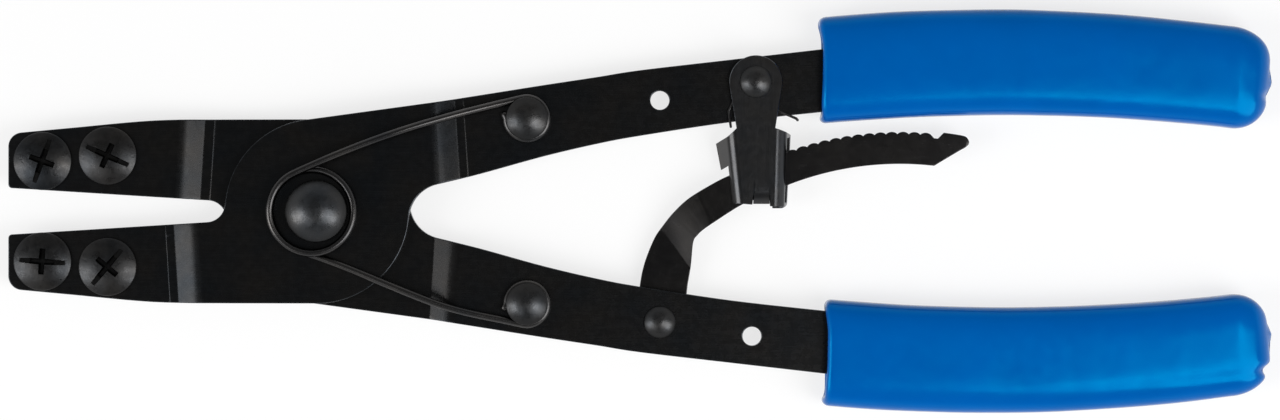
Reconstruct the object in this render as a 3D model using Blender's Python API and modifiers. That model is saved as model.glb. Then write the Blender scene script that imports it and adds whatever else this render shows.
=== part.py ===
"""Locking snap-ring pliers, lying flat with the jaws towards -X.

Two like stampings cross at a pivot. The one on top carries the lower jaw and
the upper handle, and the one below is the same stamping turned over. The
handles carry sleeve grips, a wound return spring, and a toothed bar that runs
through a sprung clip and holds the handles where they are squeezed to.

Metres, +Z up. The origin is on the pivot's axis, on the plane the part rests on.
"""

import math

import bmesh
import bpy
from mathutils import Vector
from mathutils.geometry import intersect_point_line

# Plates
PLATE_THICKNESS = 0.0045
FIT = 0.0003
BOSS_RADIUS = 0.0292
JOGGLE_MARGIN = 0.0072
JOGGLE_LENGTH = 0.0084

# Jaws, measured from the pivot
JAW_REACH = 0.098
JAW_TIP_INSET = 0.0074
JAW_ROOT_INSET = 0.0031
JAW_TIP_DEPTH = 0.0172
JAW_INNER_CORNER = 0.0012
JAW_OUTER_CORNER = 0.0045
JAW_NOTCH_RADIUS = 0.006
# outer edge: share of the reach, share of the boss radius
JAW_EDGE_SHARES = ((0.80, 0.905), (0.53, 0.986), (0.30, 0.998))

# Handle bars: share of the run to the grip, of the offset there, of the width there
HANDLE_RUN = 0.1605
HANDLE_OFFSET = 0.0415
HANDLE_WIDTH = 0.0199
HANDLE_SHARES = (
    (0.234, 0.518, 1.317),
    (0.321, 0.586, 1.256),
    (0.447, 0.692, 1.136),
    (0.553, 0.771, 1.065),
    (0.637, 0.827, 1.045),
    (0.817, 0.920, 0.995),
    (1.000, 1.000, 1.000),
)
HANDLE_NOTCH_RADIUS = 0.0115

# Grips
GRIP_LENGTH = 0.1415
GRIP_WIDTH = 0.0333
GRIP_END_WIDTH = 0.0314
GRIP_THICKNESS = 0.017
GRIP_WALL = 0.0023
GRIP_END_WALL = 0.004
GRIP_CREST_FORWARD = 0.0545
GRIP_CREST_OFFSET = 0.0057
GRIP_BEND_RADIUS = 0.6
GRIP_EDGE_RADIUS = 0.0072
GRIP_END_RADIUS = 0.0085
GRIP_RIM = 0.0013
GRIP_POCKET_HEIGHT = 0.0115
GRIP_POCKET_EDGE = 0.0045
GRIP_POCKET_DEPTH = 0.0125
GRIP_STATIONS = 9
TANG_NECK_LENGTH = 0.012
TANG_FLARE_LENGTH = 0.008
TANG_CORNER = 0.006

# Pivot
PIVOT_SHANK_RADIUS = 0.0067
PIVOT_HEAD_RADIUS = 0.0098
PIVOT_HEAD_SIDE = 0.0064
PIVOT_DOME_HEIGHT = 0.0031
PIVOT_TAIL_RADIUS = 0.0098
PIVOT_TAIL_CHAMFER = 0.0004
WASHER_RADIUS = 0.0125
WASHER_THICKNESS = 0.0016

# Return spring and its posts
WIRE_RADIUS = 0.0012
COIL_RADIUS = 0.013
COIL_PITCH = 0.00296
COIL_START = 115
COIL_SWEEP = 498
LOOP_POINTS = 24
HOOK_START = 103
HOOK_SWEEP = 282
HOOK_POINTS = 14
HOOK_LIFT = 0.0006
HOOK_END_LENGTH = 0.0024
HOOK_END_TURN = 45
LEG_POINTS = 16
LEG_PULL_SHARE = 0.36
LEG_LEVEL_SHARE = 0.33
UPPER_LEG_ANGLES = (25, 13)
LOWER_LEG_ANGLES = (-17, -20, -13)
# where the lower leg bends, as shares of the hook's place
LOWER_LEG_BEND_SHARES = (0.568, 0.809)
POST_X = 0.0665
POST_OUTWARD = 0.0018
POST_NECK_RADIUS = 0.005
POST_HEAD_RADIUS = 0.007
POST_HEAD_SIDE = 0.0009
POST_DOME_HEIGHT = 0.0017
POST_SHANK_RADIUS = 0.0032

# Holes in the handles, placed back from the grip's mouth, and the rivets in them
RIVET_SHANK_RADIUS = 0.0027
HANG_HOLE_RADIUS = 0.0031
BAR_HOLE_BACK = 0.0519
CLIP_HOLE_BACK = 0.0215
CLIP_HOLE_OUTWARD = 0.0019
LOWER_HANG_HOLE_BACK = 0.0227
LOWER_HANG_HOLE_OUTWARD = 0.0007
RIVET_HEAD_RADIUS = 0.005
RIVET_HEAD_SIDE = 0.0007
RIVET_DOME_HEIGHT = 0.0016
RIVET_TAIL_RADIUS = 0.0046
RIVET_TAIL_THICKNESS = 0.0013

# Tip screws, placed from the jaw's end and away from the pivot's axis
SCREW_OUTER_BACK = 0.011
SCREW_INNER_BACK = 0.0316
SCREW_OUTER_OFFSET = 0.0159
SCREW_INNER_OFFSET = 0.0176
SCREW_HEAD_RADIUS = 0.0092
SCREW_HEAD_SIDE = 0.0009
SCREW_DOME_HEIGHT = 0.0021
SCREW_SHANK_RADIUS = 0.004
SCREW_PROTRUSION = 0.0025
SCREW_END_CHAMFER = 0.0006
SCREW_SLOT_WIDTH = 0.0015
SCREW_SLOT_LENGTH = 0.0164
SCREW_SLOT_DEPTH = 0.0012
SCREW_CROSS_LENGTH = 0.0082
SCREW_CROSS_WIDTH = 0.0017
SCREW_CROSS_DEPTH = 0.0022
SCREW_TURNS = {"upper_outer": 70, "upper_inner": -24, "lower_outer": -4, "lower_inner": 50}

# Ratchet bar, from its rivet
BAR_THICKNESS = 0.0026
BAR_DEPTH = 0.0102
BAR_TOP_RADIUS = 0.1076
BAR_CREST_X = 0.0762
BAR_CREST_HEIGHT = 0.0604
BAR_BASE_RADIUS = 0.0076
BAR_BASE_HEIGHT = 0.012
BAR_BASE_BACK = 0.0063
BAR_BASE_FRONT = 0.0089
BAR_INNER_X = 0.0106
BAR_INNER_Y = 0.0252
BAR_NOTCH_ANGLE = 6.3
BAR_HEEL_ANGLE = 6.4
BAR_NOTCH_DEPTH = 0.0015
BAR_NOTCH_HALF_WIDTH = 0.0017
# nose, from the heel round to its top: angle, share of the bar's depth below the top arc
BAR_NOSE_SHARES = ((10.2, 0.47), (11.5, 0.27), (11.9, 0.13), (11.5, 0.0), (10.6, -0.06), (7.4, -0.06))
# shoulder, from the base's back corner to the last tooth: share across, share up
BAR_SHOULDER_SHARES = (
    (0.02, 0.11),
    (0.06, 0.24),
    (0.13, 0.40),
    (0.20, 0.50),
    (0.29, 0.61),
    (0.42, 0.73),
    (0.60, 0.84),
    (0.78, 0.93),
)
# inner edge, from the elbow's corner to where the lower arc starts: share across, share up
BAR_ARC_START = 0.032
BAR_ELBOW_SHARES = ((0.06, 0.16), (0.17, 0.31), (0.36, 0.50), (0.55, 0.685), (0.74, 0.85))
TOOTH_COUNT = 16
TOOTH_PITCH = 0.00365
TOOTH_HEIGHT = 0.0006
# a tooth's outline: share of the pitch, share of the height
TOOTH_SHARES = ((0.0, 0.0), (0.2, 0.75), (0.5, 1.0), (0.8, 0.75))
# fold lines across the elbow, as shares of the inner corner's place
FOLD_LOW_SHARES = ((0.024, 1.147), (0.726, 0.750))
FOLD_HIGH_SHARES = ((1.255, 1.540), (1.519, 1.238))

# Lock clip, from its rivet
CLIP_THICKNESS = 0.0012
CLIP_STANDOFF = 0.0015
CLIP_HEAD_RADIUS = 0.0084
CLIP_NECK_WIDTH = 0.0123
CLIP_WIDTH = 0.0146
CLIP_LENGTH = 0.0385
CLIP_FLANGE_DEPTH = 0.0075
CLIP_BEND_RADIUS = 0.0013
CLIP_PLAY_ABOVE = 0.0042
CLIP_PLAY_BELOW = 0.0036
CLIP_PLAY_BESIDE = 0.0005
# corners of the leaf and of the flanges' back edges: share of the width, share of the length
CLIP_NECK_SHARE = 0.38
CLIP_LEAF_SHARES = {
    "top_left": (-0.430, 0.440),
    "bottom_left": (-0.329, 1.000),
    "bottom_right": (0.479, 1.040),
    "top_right": (0.541, 0.405),
}
CLIP_BACK_SHARES = {
    "top_left": (-0.829, 0.504),
    "bottom_left": (-0.575, 1.000),
    "bottom_right": (0.651, 1.020),
    "top_right": (0.733, 0.431),
}
CLIP_TAB_SHARES = (0.72, 0.90)

# Clip spring, from the clip's rivet
CLIP_WIRE_RADIUS = 0.00045
CLIP_COIL_START = 20
CLIP_COIL_END = 151
CLIP_COIL_POINTS = 9
CLIP_HOOK_DEPTH = 0.0042
# places along its legs: share of the clip's width, share of the clip's length
CLIP_EDGE_LEG_SHARES = ((-0.589, 0.242), (-0.541, 0.379))
CLIP_HOOK_LEG_SHARES = ((0.493, 0.239), (0.877, 0.239))

CUT_OVERRUN = 0.004
ROUND_STEPS = 28
MID = GRIP_THICKNESS / 2
FACE = PLATE_THICKNESS / 2
BOSS_LIFT = FACE + FIT / 2
BOSS_FACE = BOSS_LIFT + FACE
WELD = FIT / 100


def arc(centre, radius, start, end, steps):
    """Points along an arc, in degrees anticlockwise from +X."""
    turns = [math.radians(start + (end - start) * i / steps) for i in range(steps + 1)]
    return [(centre[0] + radius * math.cos(t), centre[1] + radius * math.sin(t)) for t in turns]


def angle_of(point, centre=(0, 0)):
    return math.degrees(math.atan2(point[1] - centre[1], point[0] - centre[0]))


def between(low, high, share):
    return tuple(a + (b - a) * share for a, b in zip(low, high))


def round_corner(before, corner, after, radius, steps=5):
    """The arc in a convex corner of an anticlockwise outline."""
    back = math.radians(angle_of(before, corner))
    ahead = math.radians(angle_of(after, corner))
    half = ((back - ahead) % math.tau) / 2
    reach = radius / math.sin(half)
    centre = (corner[0] + reach * math.cos(ahead + half), corner[1] + reach * math.sin(ahead + half))
    start = math.degrees(back) + 90
    return arc(centre, radius, start, start + 180 - math.degrees(2 * half), steps)


def notch_centre(point, slope, radius, side):
    """Centre of the round notch between the boss and the straight edge through a point.

    side is 1 for a notch above the edge and -1 for one below it.
    """
    near = (point[0] - radius * side * math.sin(slope), point[1] + radius * side * math.cos(slope))
    along = near[0] * math.cos(slope) + near[1] * math.sin(slope)
    across_squared = near[0] ** 2 + near[1] ** 2 - along**2
    run = math.copysign(math.sqrt((BOSS_RADIUS + radius) ** 2 - across_squared), point[0]) - along
    return (near[0] + run * math.cos(slope), near[1] + run * math.sin(slope))


def handle_stations():
    """(x, centre, half width) along a handle bar, up to the grip's mouth."""
    return [
        (HANDLE_RUN * run, HANDLE_OFFSET * offset, HANDLE_WIDTH * width / 2)
        for run, offset, width in HANDLE_SHARES
    ]


def handle_at(x):
    """A handle bar's centre and half width at a distance from the pivot."""
    stations = handle_stations()
    low, high = stations[-2:]
    for first, second in zip(stations, stations[1:]):
        if first[0] <= x <= second[0]:
            low, high = first, second
    return between(low, high, (x - low[0]) / (high[0] - low[0]))[1:]


def post_centre():
    return (POST_X, handle_at(POST_X)[0] + POST_OUTWARD)


def handle_hole(back, outward):
    """A hole's place in the handle, back from the grip's mouth and outward of the bar's middle."""
    x = HANDLE_RUN - back
    return (x, handle_at(x)[0] + outward)


def bar_hole():
    return handle_hole(BAR_HOLE_BACK, 0)


def clip_hole():
    return handle_hole(CLIP_HOLE_BACK, CLIP_HOLE_OUTWARD)


def lower_hang_hole():
    return handle_hole(LOWER_HANG_HOLE_BACK, LOWER_HANG_HOLE_OUTWARD)


def outer_screw():
    return (SCREW_OUTER_BACK - JAW_REACH, -SCREW_OUTER_OFFSET)


def inner_screw():
    return (SCREW_INNER_BACK - JAW_REACH, -SCREW_INNER_OFFSET)


def grip_centre(x):
    crest = HANDLE_RUN + GRIP_CREST_FORWARD
    return HANDLE_OFFSET + GRIP_CREST_OFFSET - (x - crest) ** 2 / (2 * GRIP_BEND_RADIUS)


def grip_half_width(x):
    share = (x - HANDLE_RUN) / GRIP_LENGTH
    return (GRIP_WIDTH + (GRIP_END_WIDTH - GRIP_WIDTH) * share) / 2


def grip_band(start, end, inset, corner):
    """The grip's edges drawn in by inset, each from start to a rounded end: inner, outer."""
    inner = []
    outer = []
    for i in range(GRIP_STATIONS + 1):
        x = start + (end - start) * i / GRIP_STATIONS
        half = grip_half_width(x) - inset
        inner.append((x, grip_centre(x) - half))
        outer.append((x, grip_centre(x) + half))
    low = round_corner(inner[-2], inner[-1], outer[-1], corner)
    high = round_corner(inner[-1], outer[-1], outer[-2], corner)
    return inner[:-1] + low, outer[:-1] + high[::-1]


def tang_edges(grow=0):
    """Edges of the handle's end inside the grip, from its neck on: inner, outer."""
    neck = HANDLE_RUN + TANG_NECK_LENGTH - grow
    centre, half = handle_at(neck)
    end = HANDLE_RUN + GRIP_LENGTH - GRIP_END_WALL - FIT + grow
    inner, outer = grip_band(neck + TANG_FLARE_LENGTH, end, GRIP_WALL + FIT - grow, TANG_CORNER)
    return [(neck, centre - half - grow)] + inner, [(neck, centre + half + grow)] + outer


def arm_outline():
    """The stamping from its boss side: jaw to the lower left, handle to the upper right."""
    tip_inner = (-JAW_REACH, -JAW_TIP_INSET)
    tip_outer = (-JAW_REACH, -JAW_TIP_INSET - JAW_TIP_DEPTH)
    root = (-BOSS_RADIUS, -JAW_ROOT_INSET)
    belly = [(-JAW_REACH * run, -BOSS_RADIUS * drop) for run, drop in JAW_EDGE_SHARES]
    jaw_slope = math.radians(angle_of(root, tip_inner))
    jaw_notch = notch_centre(root, jaw_slope, JAW_NOTCH_RADIUS, 1)

    stations = handle_stations()
    inner = [(x, centre - half) for x, centre, half in stations]
    outer = [(x, centre + half) for x, centre, half in stations]
    tang_inner, tang_outer = tang_edges()
    handle_slope = math.radians(angle_of(inner[1], inner[0]))
    handle_notch = notch_centre(inner[0], handle_slope, HANDLE_NOTCH_RADIUS, -1)
    tangent = angle_of(outer[0]) + math.degrees(math.acos(BOSS_RADIUS / math.hypot(*outer[0])))

    points = round_corner(root, tip_inner, tip_outer, JAW_INNER_CORNER)
    points += round_corner(tip_inner, tip_outer, belly[0], JAW_OUTER_CORNER)
    points += belly
    points += arc((0, 0), BOSS_RADIUS, -90, angle_of(handle_notch), 14)
    facing = angle_of((0, 0), handle_notch) % 360
    points += arc(handle_notch, HANDLE_NOTCH_RADIUS, facing, 90 + math.degrees(handle_slope), 6)[1:]
    points += inner + tang_inner + tang_outer[::-1] + outer[::-1]
    points += arc((0, 0), BOSS_RADIUS, tangent, angle_of(jaw_notch) % 360, 12)
    facing = angle_of((0, 0), jaw_notch)
    points += arc(jaw_notch, JAW_NOTCH_RADIUS, facing, math.degrees(jaw_slope) - 90, 6)[1:]
    return points


def bar_arc(radius, start, end, steps):
    """Points on the ratchet bar's arcs, in degrees clockwise from the arcs' top."""
    centre = (BAR_CREST_X, BAR_CREST_HEIGHT - BAR_TOP_RADIUS)
    return arc(centre, radius, 90 - start, 90 - end, steps)


def bar_arc_angle(x, radius):
    """Where one of the bar's arcs passes a distance to the right of the bar's rivet."""
    return math.degrees(math.asin((x - BAR_CREST_X) / radius))


def bar_arc_height(x, radius):
    """Height of one of the bar's arcs over the clip's rivet, at a distance to its right."""
    pivot = bar_hole()
    catch = clip_hole()
    angle = bar_arc_angle(catch[0] + x - pivot[0], radius)
    return bar_arc(radius, angle, angle, 1)[0][1] - pivot[1] - catch[1]


def tooth_outline():
    """Round-topped teeth along the top edge, from the tip's notch back."""
    pitch = math.degrees(TOOTH_PITCH / BAR_TOP_RADIUS)
    first = BAR_NOTCH_ANGLE - math.degrees(BAR_NOTCH_HALF_WIDTH / BAR_TOP_RADIUS)
    points = []
    for tooth in range(TOOTH_COUNT):
        for run, rise in TOOTH_SHARES:
            angle = first - pitch * (tooth + run)
            points += bar_arc(BAR_TOP_RADIUS - TOOTH_HEIGHT * (1 - rise), angle, angle, 1)[:1]
    last = first - pitch * TOOTH_COUNT
    return points + bar_arc(BAR_TOP_RADIUS - TOOTH_HEIGHT, last, last, 1)[:1]


def stepped(low, high, shares):
    """Points between two corners, from shares across and up."""
    return [(between(low, high, across)[0], between(low, high, up)[1]) for across, up in shares]


def bar_outline():
    inner_radius = BAR_TOP_RADIUS - BAR_DEPTH
    back = (-BAR_BASE_BACK, BAR_BASE_HEIGHT)
    inner = (BAR_INNER_X, BAR_INNER_Y)
    notch = math.degrees(BAR_NOTCH_HALF_WIDTH / BAR_TOP_RADIUS)
    arm = bar_arc(inner_radius, bar_arc_angle(BAR_ARC_START, inner_radius), BAR_HEEL_ANGLE, 18)

    points = arc((0, 0), BAR_BASE_RADIUS, -180, 0, 12)
    points += [(BAR_BASE_FRONT, BAR_BASE_HEIGHT), inner]
    points += stepped(inner, arm[0], BAR_ELBOW_SHARES) + arm
    for angle, fall in BAR_NOSE_SHARES:
        points += bar_arc(BAR_TOP_RADIUS - BAR_DEPTH * fall, angle, angle, 1)[:1]
    points += bar_arc(BAR_TOP_RADIUS - BAR_NOTCH_DEPTH, BAR_NOTCH_ANGLE, BAR_NOTCH_ANGLE - notch / 2, 1)
    points += tooth_outline()
    return points + stepped(back, points[-1], BAR_SHOULDER_SHARES)[::-1] + [back]


def collection(name):
    made = bpy.data.collections.new(name)
    bpy.context.scene.collection.children.link(made)
    return made


def material(name, colour, roughness, metallic):
    made = bpy.data.materials.new(name)
    made.use_nodes = True
    shader = made.node_tree.nodes["Principled BSDF"]
    shader.inputs["Base Color"].default_value = (*colour, 1)
    shader.inputs["Roughness"].default_value = roughness
    shader.inputs["Metallic"].default_value = metallic
    made.diffuse_color = (*colour, 1)
    return made


for old in list(bpy.data.objects):
    bpy.data.objects.remove(old, do_unlink=True)

PLIERS = collection("snap_ring_pliers")
CUTTERS = collection("cutters")


def add(name, data, finish, place, turn=(0, 0, 0), parent=None):
    """Puts a new piece among the pliers' parts."""
    obj = bpy.data.objects.new(name, data)
    PLIERS.objects.link(obj)
    obj.location = place
    obj.rotation_euler = turn
    obj.parent = parent
    data.materials.append(finish)
    return obj


def body(name, place=(0, 0, 0), parent=None):
    """An empty on a joint's axis, which carries the pieces that move together."""
    obj = bpy.data.objects.new(name, None)
    PLIERS.objects.link(obj)
    obj.location = place
    obj.parent = parent
    obj.empty_display_size = BOSS_RADIUS
    return obj


def shade_round(obj):
    obj.data.shade_smooth()
    obj.data.set_sharp_from_angle(angle=math.radians(35))


def plate(outline, thickness, holes=(), edge=0):
    """A welded mesh of a flat outline with round holes; edge is how far its rim swells out."""
    curve = bpy.data.curves.new("outline", "CURVE")
    curve.dimensions = "2D"
    curve.fill_mode = "BOTH"
    curve.extrude = thickness / 2 - edge
    curve.bevel_depth = edge
    curve.bevel_resolution = 3
    rims = [arc(centre, radius, 0, 360, ROUND_STEPS)[:-1] for centre, radius in holes]
    for points in [outline] + rims:
        spline = curve.splines.new("POLY")
        spline.points.add(len(points) - 1)
        for point, (x, y) in zip(spline.points, points):
            point.co = (x, y, 0, 1)
        spline.use_cyclic_u = True
    guide = bpy.data.objects.new("outline", curve)
    CUTTERS.objects.link(guide)
    graph = bpy.context.evaluated_depsgraph_get()
    mesh = bpy.data.meshes.new_from_object(guide.evaluated_get(graph))
    bpy.data.objects.remove(guide, do_unlink=True)
    bm = bmesh.new()
    bm.from_mesh(mesh)
    bmesh.ops.remove_doubles(bm, verts=bm.verts, dist=WELD)
    bmesh.ops.recalc_face_normals(bm, faces=bm.faces)
    bm.to_mesh(mesh)
    bm.free()
    mesh.materials.clear()
    return mesh


def score(mesh, lines):
    """Splits a plate's faces along upright planes, each given by two points of its line."""
    bm = bmesh.new()
    bm.from_mesh(mesh)
    for low, high in lines:
        normal = (high[1] - low[1], low[0] - high[0], 0)
        pieces = bm.verts[:] + bm.edges[:] + bm.faces[:]
        bmesh.ops.bisect_plane(bm, geom=pieces, plane_co=(*low, 0), plane_no=normal, dist=WELD)
    bm.to_mesh(mesh)
    bm.free()


def side_of(point, line):
    """Distance of a point to the left of a line that runs from its first point to its second."""
    (x0, y0), (x1, y1) = line
    return ((point[0] - x0) * (y0 - y1) + (point[1] - y0) * (x1 - x0)) / math.dist(*line)


def dome(radius, base, height, steps=5):
    """Profile of a shallow dome, from the axis down to its rim."""
    ball = (radius**2 + height**2) / (2 * height)
    turns = [math.asin(radius / ball) * i / steps for i in range(steps + 1)]
    return [(ball * math.sin(t), base + height - ball * (1 - math.cos(t))) for t in turns]


def turned(name, profile, finish, place, parent=None):
    """A turned piece; profile is (radius, height) from the axis at its top down to its foot."""
    mesh = bpy.data.meshes.new(name)
    points = [(radius, 0, height) for radius, height in profile]
    mesh.from_pydata(points, [(i, i + 1) for i in range(len(points) - 1)], [])
    obj = add(name, mesh, finish, place, parent=parent)
    screw = obj.modifiers.new("turn", "SCREW")
    screw.steps = screw.render_steps = ROUND_STEPS
    screw.use_merge_vertices = True
    screw.merge_threshold = WELD
    screw.use_smooth_shade = True
    return obj


def headed_pin(dome_points, head, shank, tail, chamfer=0):
    """Profile of a pin between two heads; head, shank and tail are (radius, top, foot)."""
    return dome_points + [
        (head[0], head[2]),
        (shank[0], head[2]),
        (shank[0], tail[1]),
        (tail[0], tail[1]),
        (tail[0], tail[2] + chamfer),
        (tail[0] - chamfer, tail[2]),
        (0, tail[2]),
    ]


def wire(name, points, radius, finish, place, parent=None):
    curve = bpy.data.curves.new(name, "CURVE")
    curve.dimensions = "3D"
    curve.bevel_depth = radius
    curve.bevel_resolution = 1
    curve.use_fill_caps = True
    spline = curve.splines.new("POLY")
    spline.points.add(len(points) - 1)
    for point, co in zip(spline.points, points):
        point.co = (*co, 1)
    return add(name, curve, finish, place, parent=parent)


def cut(obj, name, mesh, place=(0, 0, 0), turn=(0, 0, 0)):
    """Cuts a piece with a mesh that lies where it is placed."""
    tool = bpy.data.objects.new(name, mesh)
    CUTTERS.objects.link(tool)
    tool.location = place
    tool.rotation_euler = turn
    tool.hide_render = True
    tool.display_type = "WIRE"
    boolean = obj.modifiers.new(name, "BOOLEAN")
    boolean.operation = "DIFFERENCE"
    boolean.solver = "EXACT"
    boolean.object = tool


def box(length, width, height):
    mesh = bpy.data.meshes.new("box")
    bm = bmesh.new()
    bmesh.ops.create_cube(bm, size=1)
    bmesh.ops.scale(bm, vec=(length, width, height), verts=bm.verts)
    bm.to_mesh(mesh)
    bm.free()
    return mesh


def arm_mesh(handle_holes):
    """The flat stamping, with its boss lifted out of the plane of the jaw and the handle."""
    holes = [((0, 0), PIVOT_SHANK_RADIUS + FIT), (post_centre(), POST_SHANK_RADIUS + FIT)]
    holes += [(outer_screw(), SCREW_SHANK_RADIUS + FIT), (inner_screw(), SCREW_SHANK_RADIUS + FIT)]
    mesh = plate(arm_outline(), PLATE_THICKNESS, holes + handle_holes)
    start = BOSS_RADIUS + JOGGLE_MARGIN
    folds = [start, start + JOGGLE_LENGTH, -start, -start - JOGGLE_LENGTH]
    score(mesh, [((x, 0), (x, 1)) for x in folds])
    for vertex in mesh.vertices:
        fall = (abs(vertex.co.x) - start) / JOGGLE_LENGTH
        vertex.co.z += BOSS_LIFT * (1 - min(max(fall, 0), 1))
    return mesh


def bar_mesh():
    """The toothed bar: its base passes behind the handle, and its elbow brings it forward."""
    mesh = plate(bar_outline(), BAR_THICKNESS, [((0, 0), RIVET_SHANK_RADIUS + FIT)])
    low = [(BAR_INNER_X * x, BAR_INNER_Y * y) for x, y in FOLD_LOW_SHARES]
    high = [(BAR_INNER_X * x, BAR_INNER_Y * y) for x, y in FOLD_HIGH_SHARES]
    score(mesh, [low, high])
    drop = FACE + FIT + BAR_THICKNESS / 2
    for vertex in mesh.vertices:
        past_low = side_of(vertex.co, low)
        before_high = -side_of(vertex.co, high)
        if past_low <= 0:
            vertex.co.z -= drop
        elif before_high > 0:
            vertex.co.z -= drop * before_high / (past_low + before_high)
    return mesh


def grip_mesh():
    """The sleeve's outside, trimmed flat at its mouth."""
    start = HANDLE_RUN - GRIP_EDGE_RADIUS - CUT_OVERRUN
    end = HANDLE_RUN + GRIP_LENGTH - GRIP_EDGE_RADIUS
    inner, outer = grip_band(start, end, GRIP_EDGE_RADIUS, GRIP_END_RADIUS - GRIP_EDGE_RADIUS)
    mesh = plate(inner + outer[::-1], GRIP_THICKNESS, edge=GRIP_EDGE_RADIUS)
    bm = bmesh.new()
    bm.from_mesh(mesh)
    pieces = bm.verts[:] + bm.edges[:] + bm.faces[:]
    mouth = (HANDLE_RUN, 0, 0)
    bmesh.ops.bisect_plane(bm, geom=pieces, plane_co=mouth, plane_no=(1, 0, 0), dist=WELD, clear_inner=True)
    bmesh.ops.holes_fill(bm, edges=[line for line in bm.edges if line.is_boundary], sides=0)
    bm.to_mesh(mesh)
    bm.free()
    return mesh


def pocket_mesh():
    """The open end of the sleeve's hollow."""
    inset = GRIP_RIM + GRIP_POCKET_EDGE
    start = HANDLE_RUN - GRIP_POCKET_EDGE - CUT_OVERRUN
    end = HANDLE_RUN + GRIP_POCKET_DEPTH - GRIP_POCKET_EDGE
    inner, outer = grip_band(start, end, inset, GRIP_RIM)
    return plate(inner + outer[::-1], GRIP_POCKET_HEIGHT, edge=GRIP_POCKET_EDGE)


def socket_mesh():
    """The tight part of the sleeve's hollow, round the handle's end."""
    centre, half = handle_at(HANDLE_RUN)
    inner, outer = tang_edges(FIT)
    mouth = HANDLE_RUN - CUT_OVERRUN
    outline = [(mouth, centre - half - FIT)] + inner + outer[::-1] + [(mouth, centre + half + FIT)]
    return plate(outline, PLATE_THICKNESS + 2 * FIT)


def clip_point(shares, height):
    return (CLIP_WIDTH * shares[0], -CLIP_LENGTH * shares[1], height)


def clip_mesh():
    """The folded sheet's middle surface: leaf, two flanges and the tab under the bar."""
    front = FACE + CLIP_STANDOFF + CLIP_THICKNESS / 2
    back = front - CLIP_FLANGE_DEPTH
    neck = CLIP_LENGTH * CLIP_NECK_SHARE
    lean = math.degrees((CLIP_HEAD_RADIUS - CLIP_NECK_WIDTH / 2) / neck)
    head = [(x, y, front) for x, y in arc((0, 0), CLIP_HEAD_RADIUS, -lean, 180 + lean, 14)]
    leaf = {name: clip_point(shares, front) for name, shares in CLIP_LEAF_SHARES.items()}
    edge = {name: clip_point(shares, back) for name, shares in CLIP_BACK_SHARES.items()}
    tab = [between(leaf["bottom_left"], leaf["bottom_right"], share) for share in CLIP_TAB_SHARES]
    faces = [
        head
        + [(-CLIP_NECK_WIDTH / 2, -neck, front), leaf["top_left"], leaf["bottom_left"], *tab]
        + [leaf["bottom_right"], leaf["top_right"], (CLIP_NECK_WIDTH / 2, -neck, front)],
        [leaf["top_left"], edge["top_left"], edge["bottom_left"], leaf["bottom_left"]],
        [leaf["bottom_right"], edge["bottom_right"], edge["top_right"], leaf["top_right"]],
        [tab[0], (*tab[0][:2], back), (*tab[1][:2], back), tab[1]],
    ]
    bm = bmesh.new()
    for face in faces:
        bm.faces.new([bm.verts.new(point) for point in face])
    bmesh.ops.remove_doubles(bm, verts=bm.verts, dist=WELD)
    folds = [line for line in bm.edges if len(line.link_faces) == 2]
    bmesh.ops.bevel(bm, geom=folds, offset=CLIP_BEND_RADIUS, segments=3, profile=0.5, affect="EDGES")
    mesh = bpy.data.meshes.new("lock_clip")
    bm.to_mesh(mesh)
    bm.free()
    return mesh


def cut_bar_way(clip, place):
    """The bar's way through the clip: under the pawl edge on the left, a window on the right."""
    inner_radius = BAR_TOP_RADIUS - BAR_DEPTH
    depth = BAR_THICKNESS + 2 * CLIP_PLAY_BESIDE
    far = 2 * CLIP_LENGTH
    middle = CLIP_WIDTH * CLIP_LEAF_SHARES["bottom_left"][0] / 2
    pawl = [
        (-CLIP_WIDTH, -far),
        (middle, -far),
        (middle, bar_arc_height(middle, BAR_TOP_RADIUS) + CLIP_PLAY_ABOVE),
        (-CLIP_WIDTH, bar_arc_height(-CLIP_WIDTH, BAR_TOP_RADIUS) + CLIP_PLAY_ABOVE),
    ]
    start = CLIP_WIDTH * CLIP_LEAF_SHARES["bottom_right"][0] - CLIP_BEND_RADIUS
    bottom = bar_arc_height(start, inner_radius) - CLIP_PLAY_BELOW
    window = [
        (start, bottom),
        (CLIP_WIDTH, bottom),
        (CLIP_WIDTH, bar_arc_height(CLIP_WIDTH, BAR_TOP_RADIUS) + CLIP_PLAY_ABOVE),
        (start, bar_arc_height(start, BAR_TOP_RADIUS) + CLIP_PLAY_ABOVE),
    ]
    pawl_depth = CLIP_FLANGE_DEPTH
    pawl_place = (place[0], place[1], place[2] + (depth - pawl_depth) / 2)
    cut(clip, "pawl_cutter", plate(pawl, pawl_depth), pawl_place)
    cut(clip, "window_cutter", plate(window, depth), place)


def leg(start, start_angle, end, end_angle, steps):
    """Points of a bowed leg between two places, leaving and arriving at the given angles."""
    pull = math.dist(start, end) * LEG_PULL_SHARE
    first = arc(start, pull, start_angle, start_angle, 1)[0]
    second = arc(end, pull, end_angle + 180, end_angle + 180, 1)[0]
    points = []
    for i in range(steps + 1):
        t = i / steps
        early = between(between(start, first, t), between(first, second, t), t)
        late = between(between(first, second, t), between(second, end, t), t)
        points.append(between(early, late, t))
    return points


def leg_heights(points, start, end):
    """Lets a leg down from the coil's level to the post's, once it is past the boss."""
    level = POST_X * LEG_LEVEL_SHARE
    heights = []
    for x, y in points:
        share = min(max((x - level) / (POST_X - level), 0), 1)
        heights.append((x, y, start + (end - start) * share * share * (3 - 2 * share)))
    return heights


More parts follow.
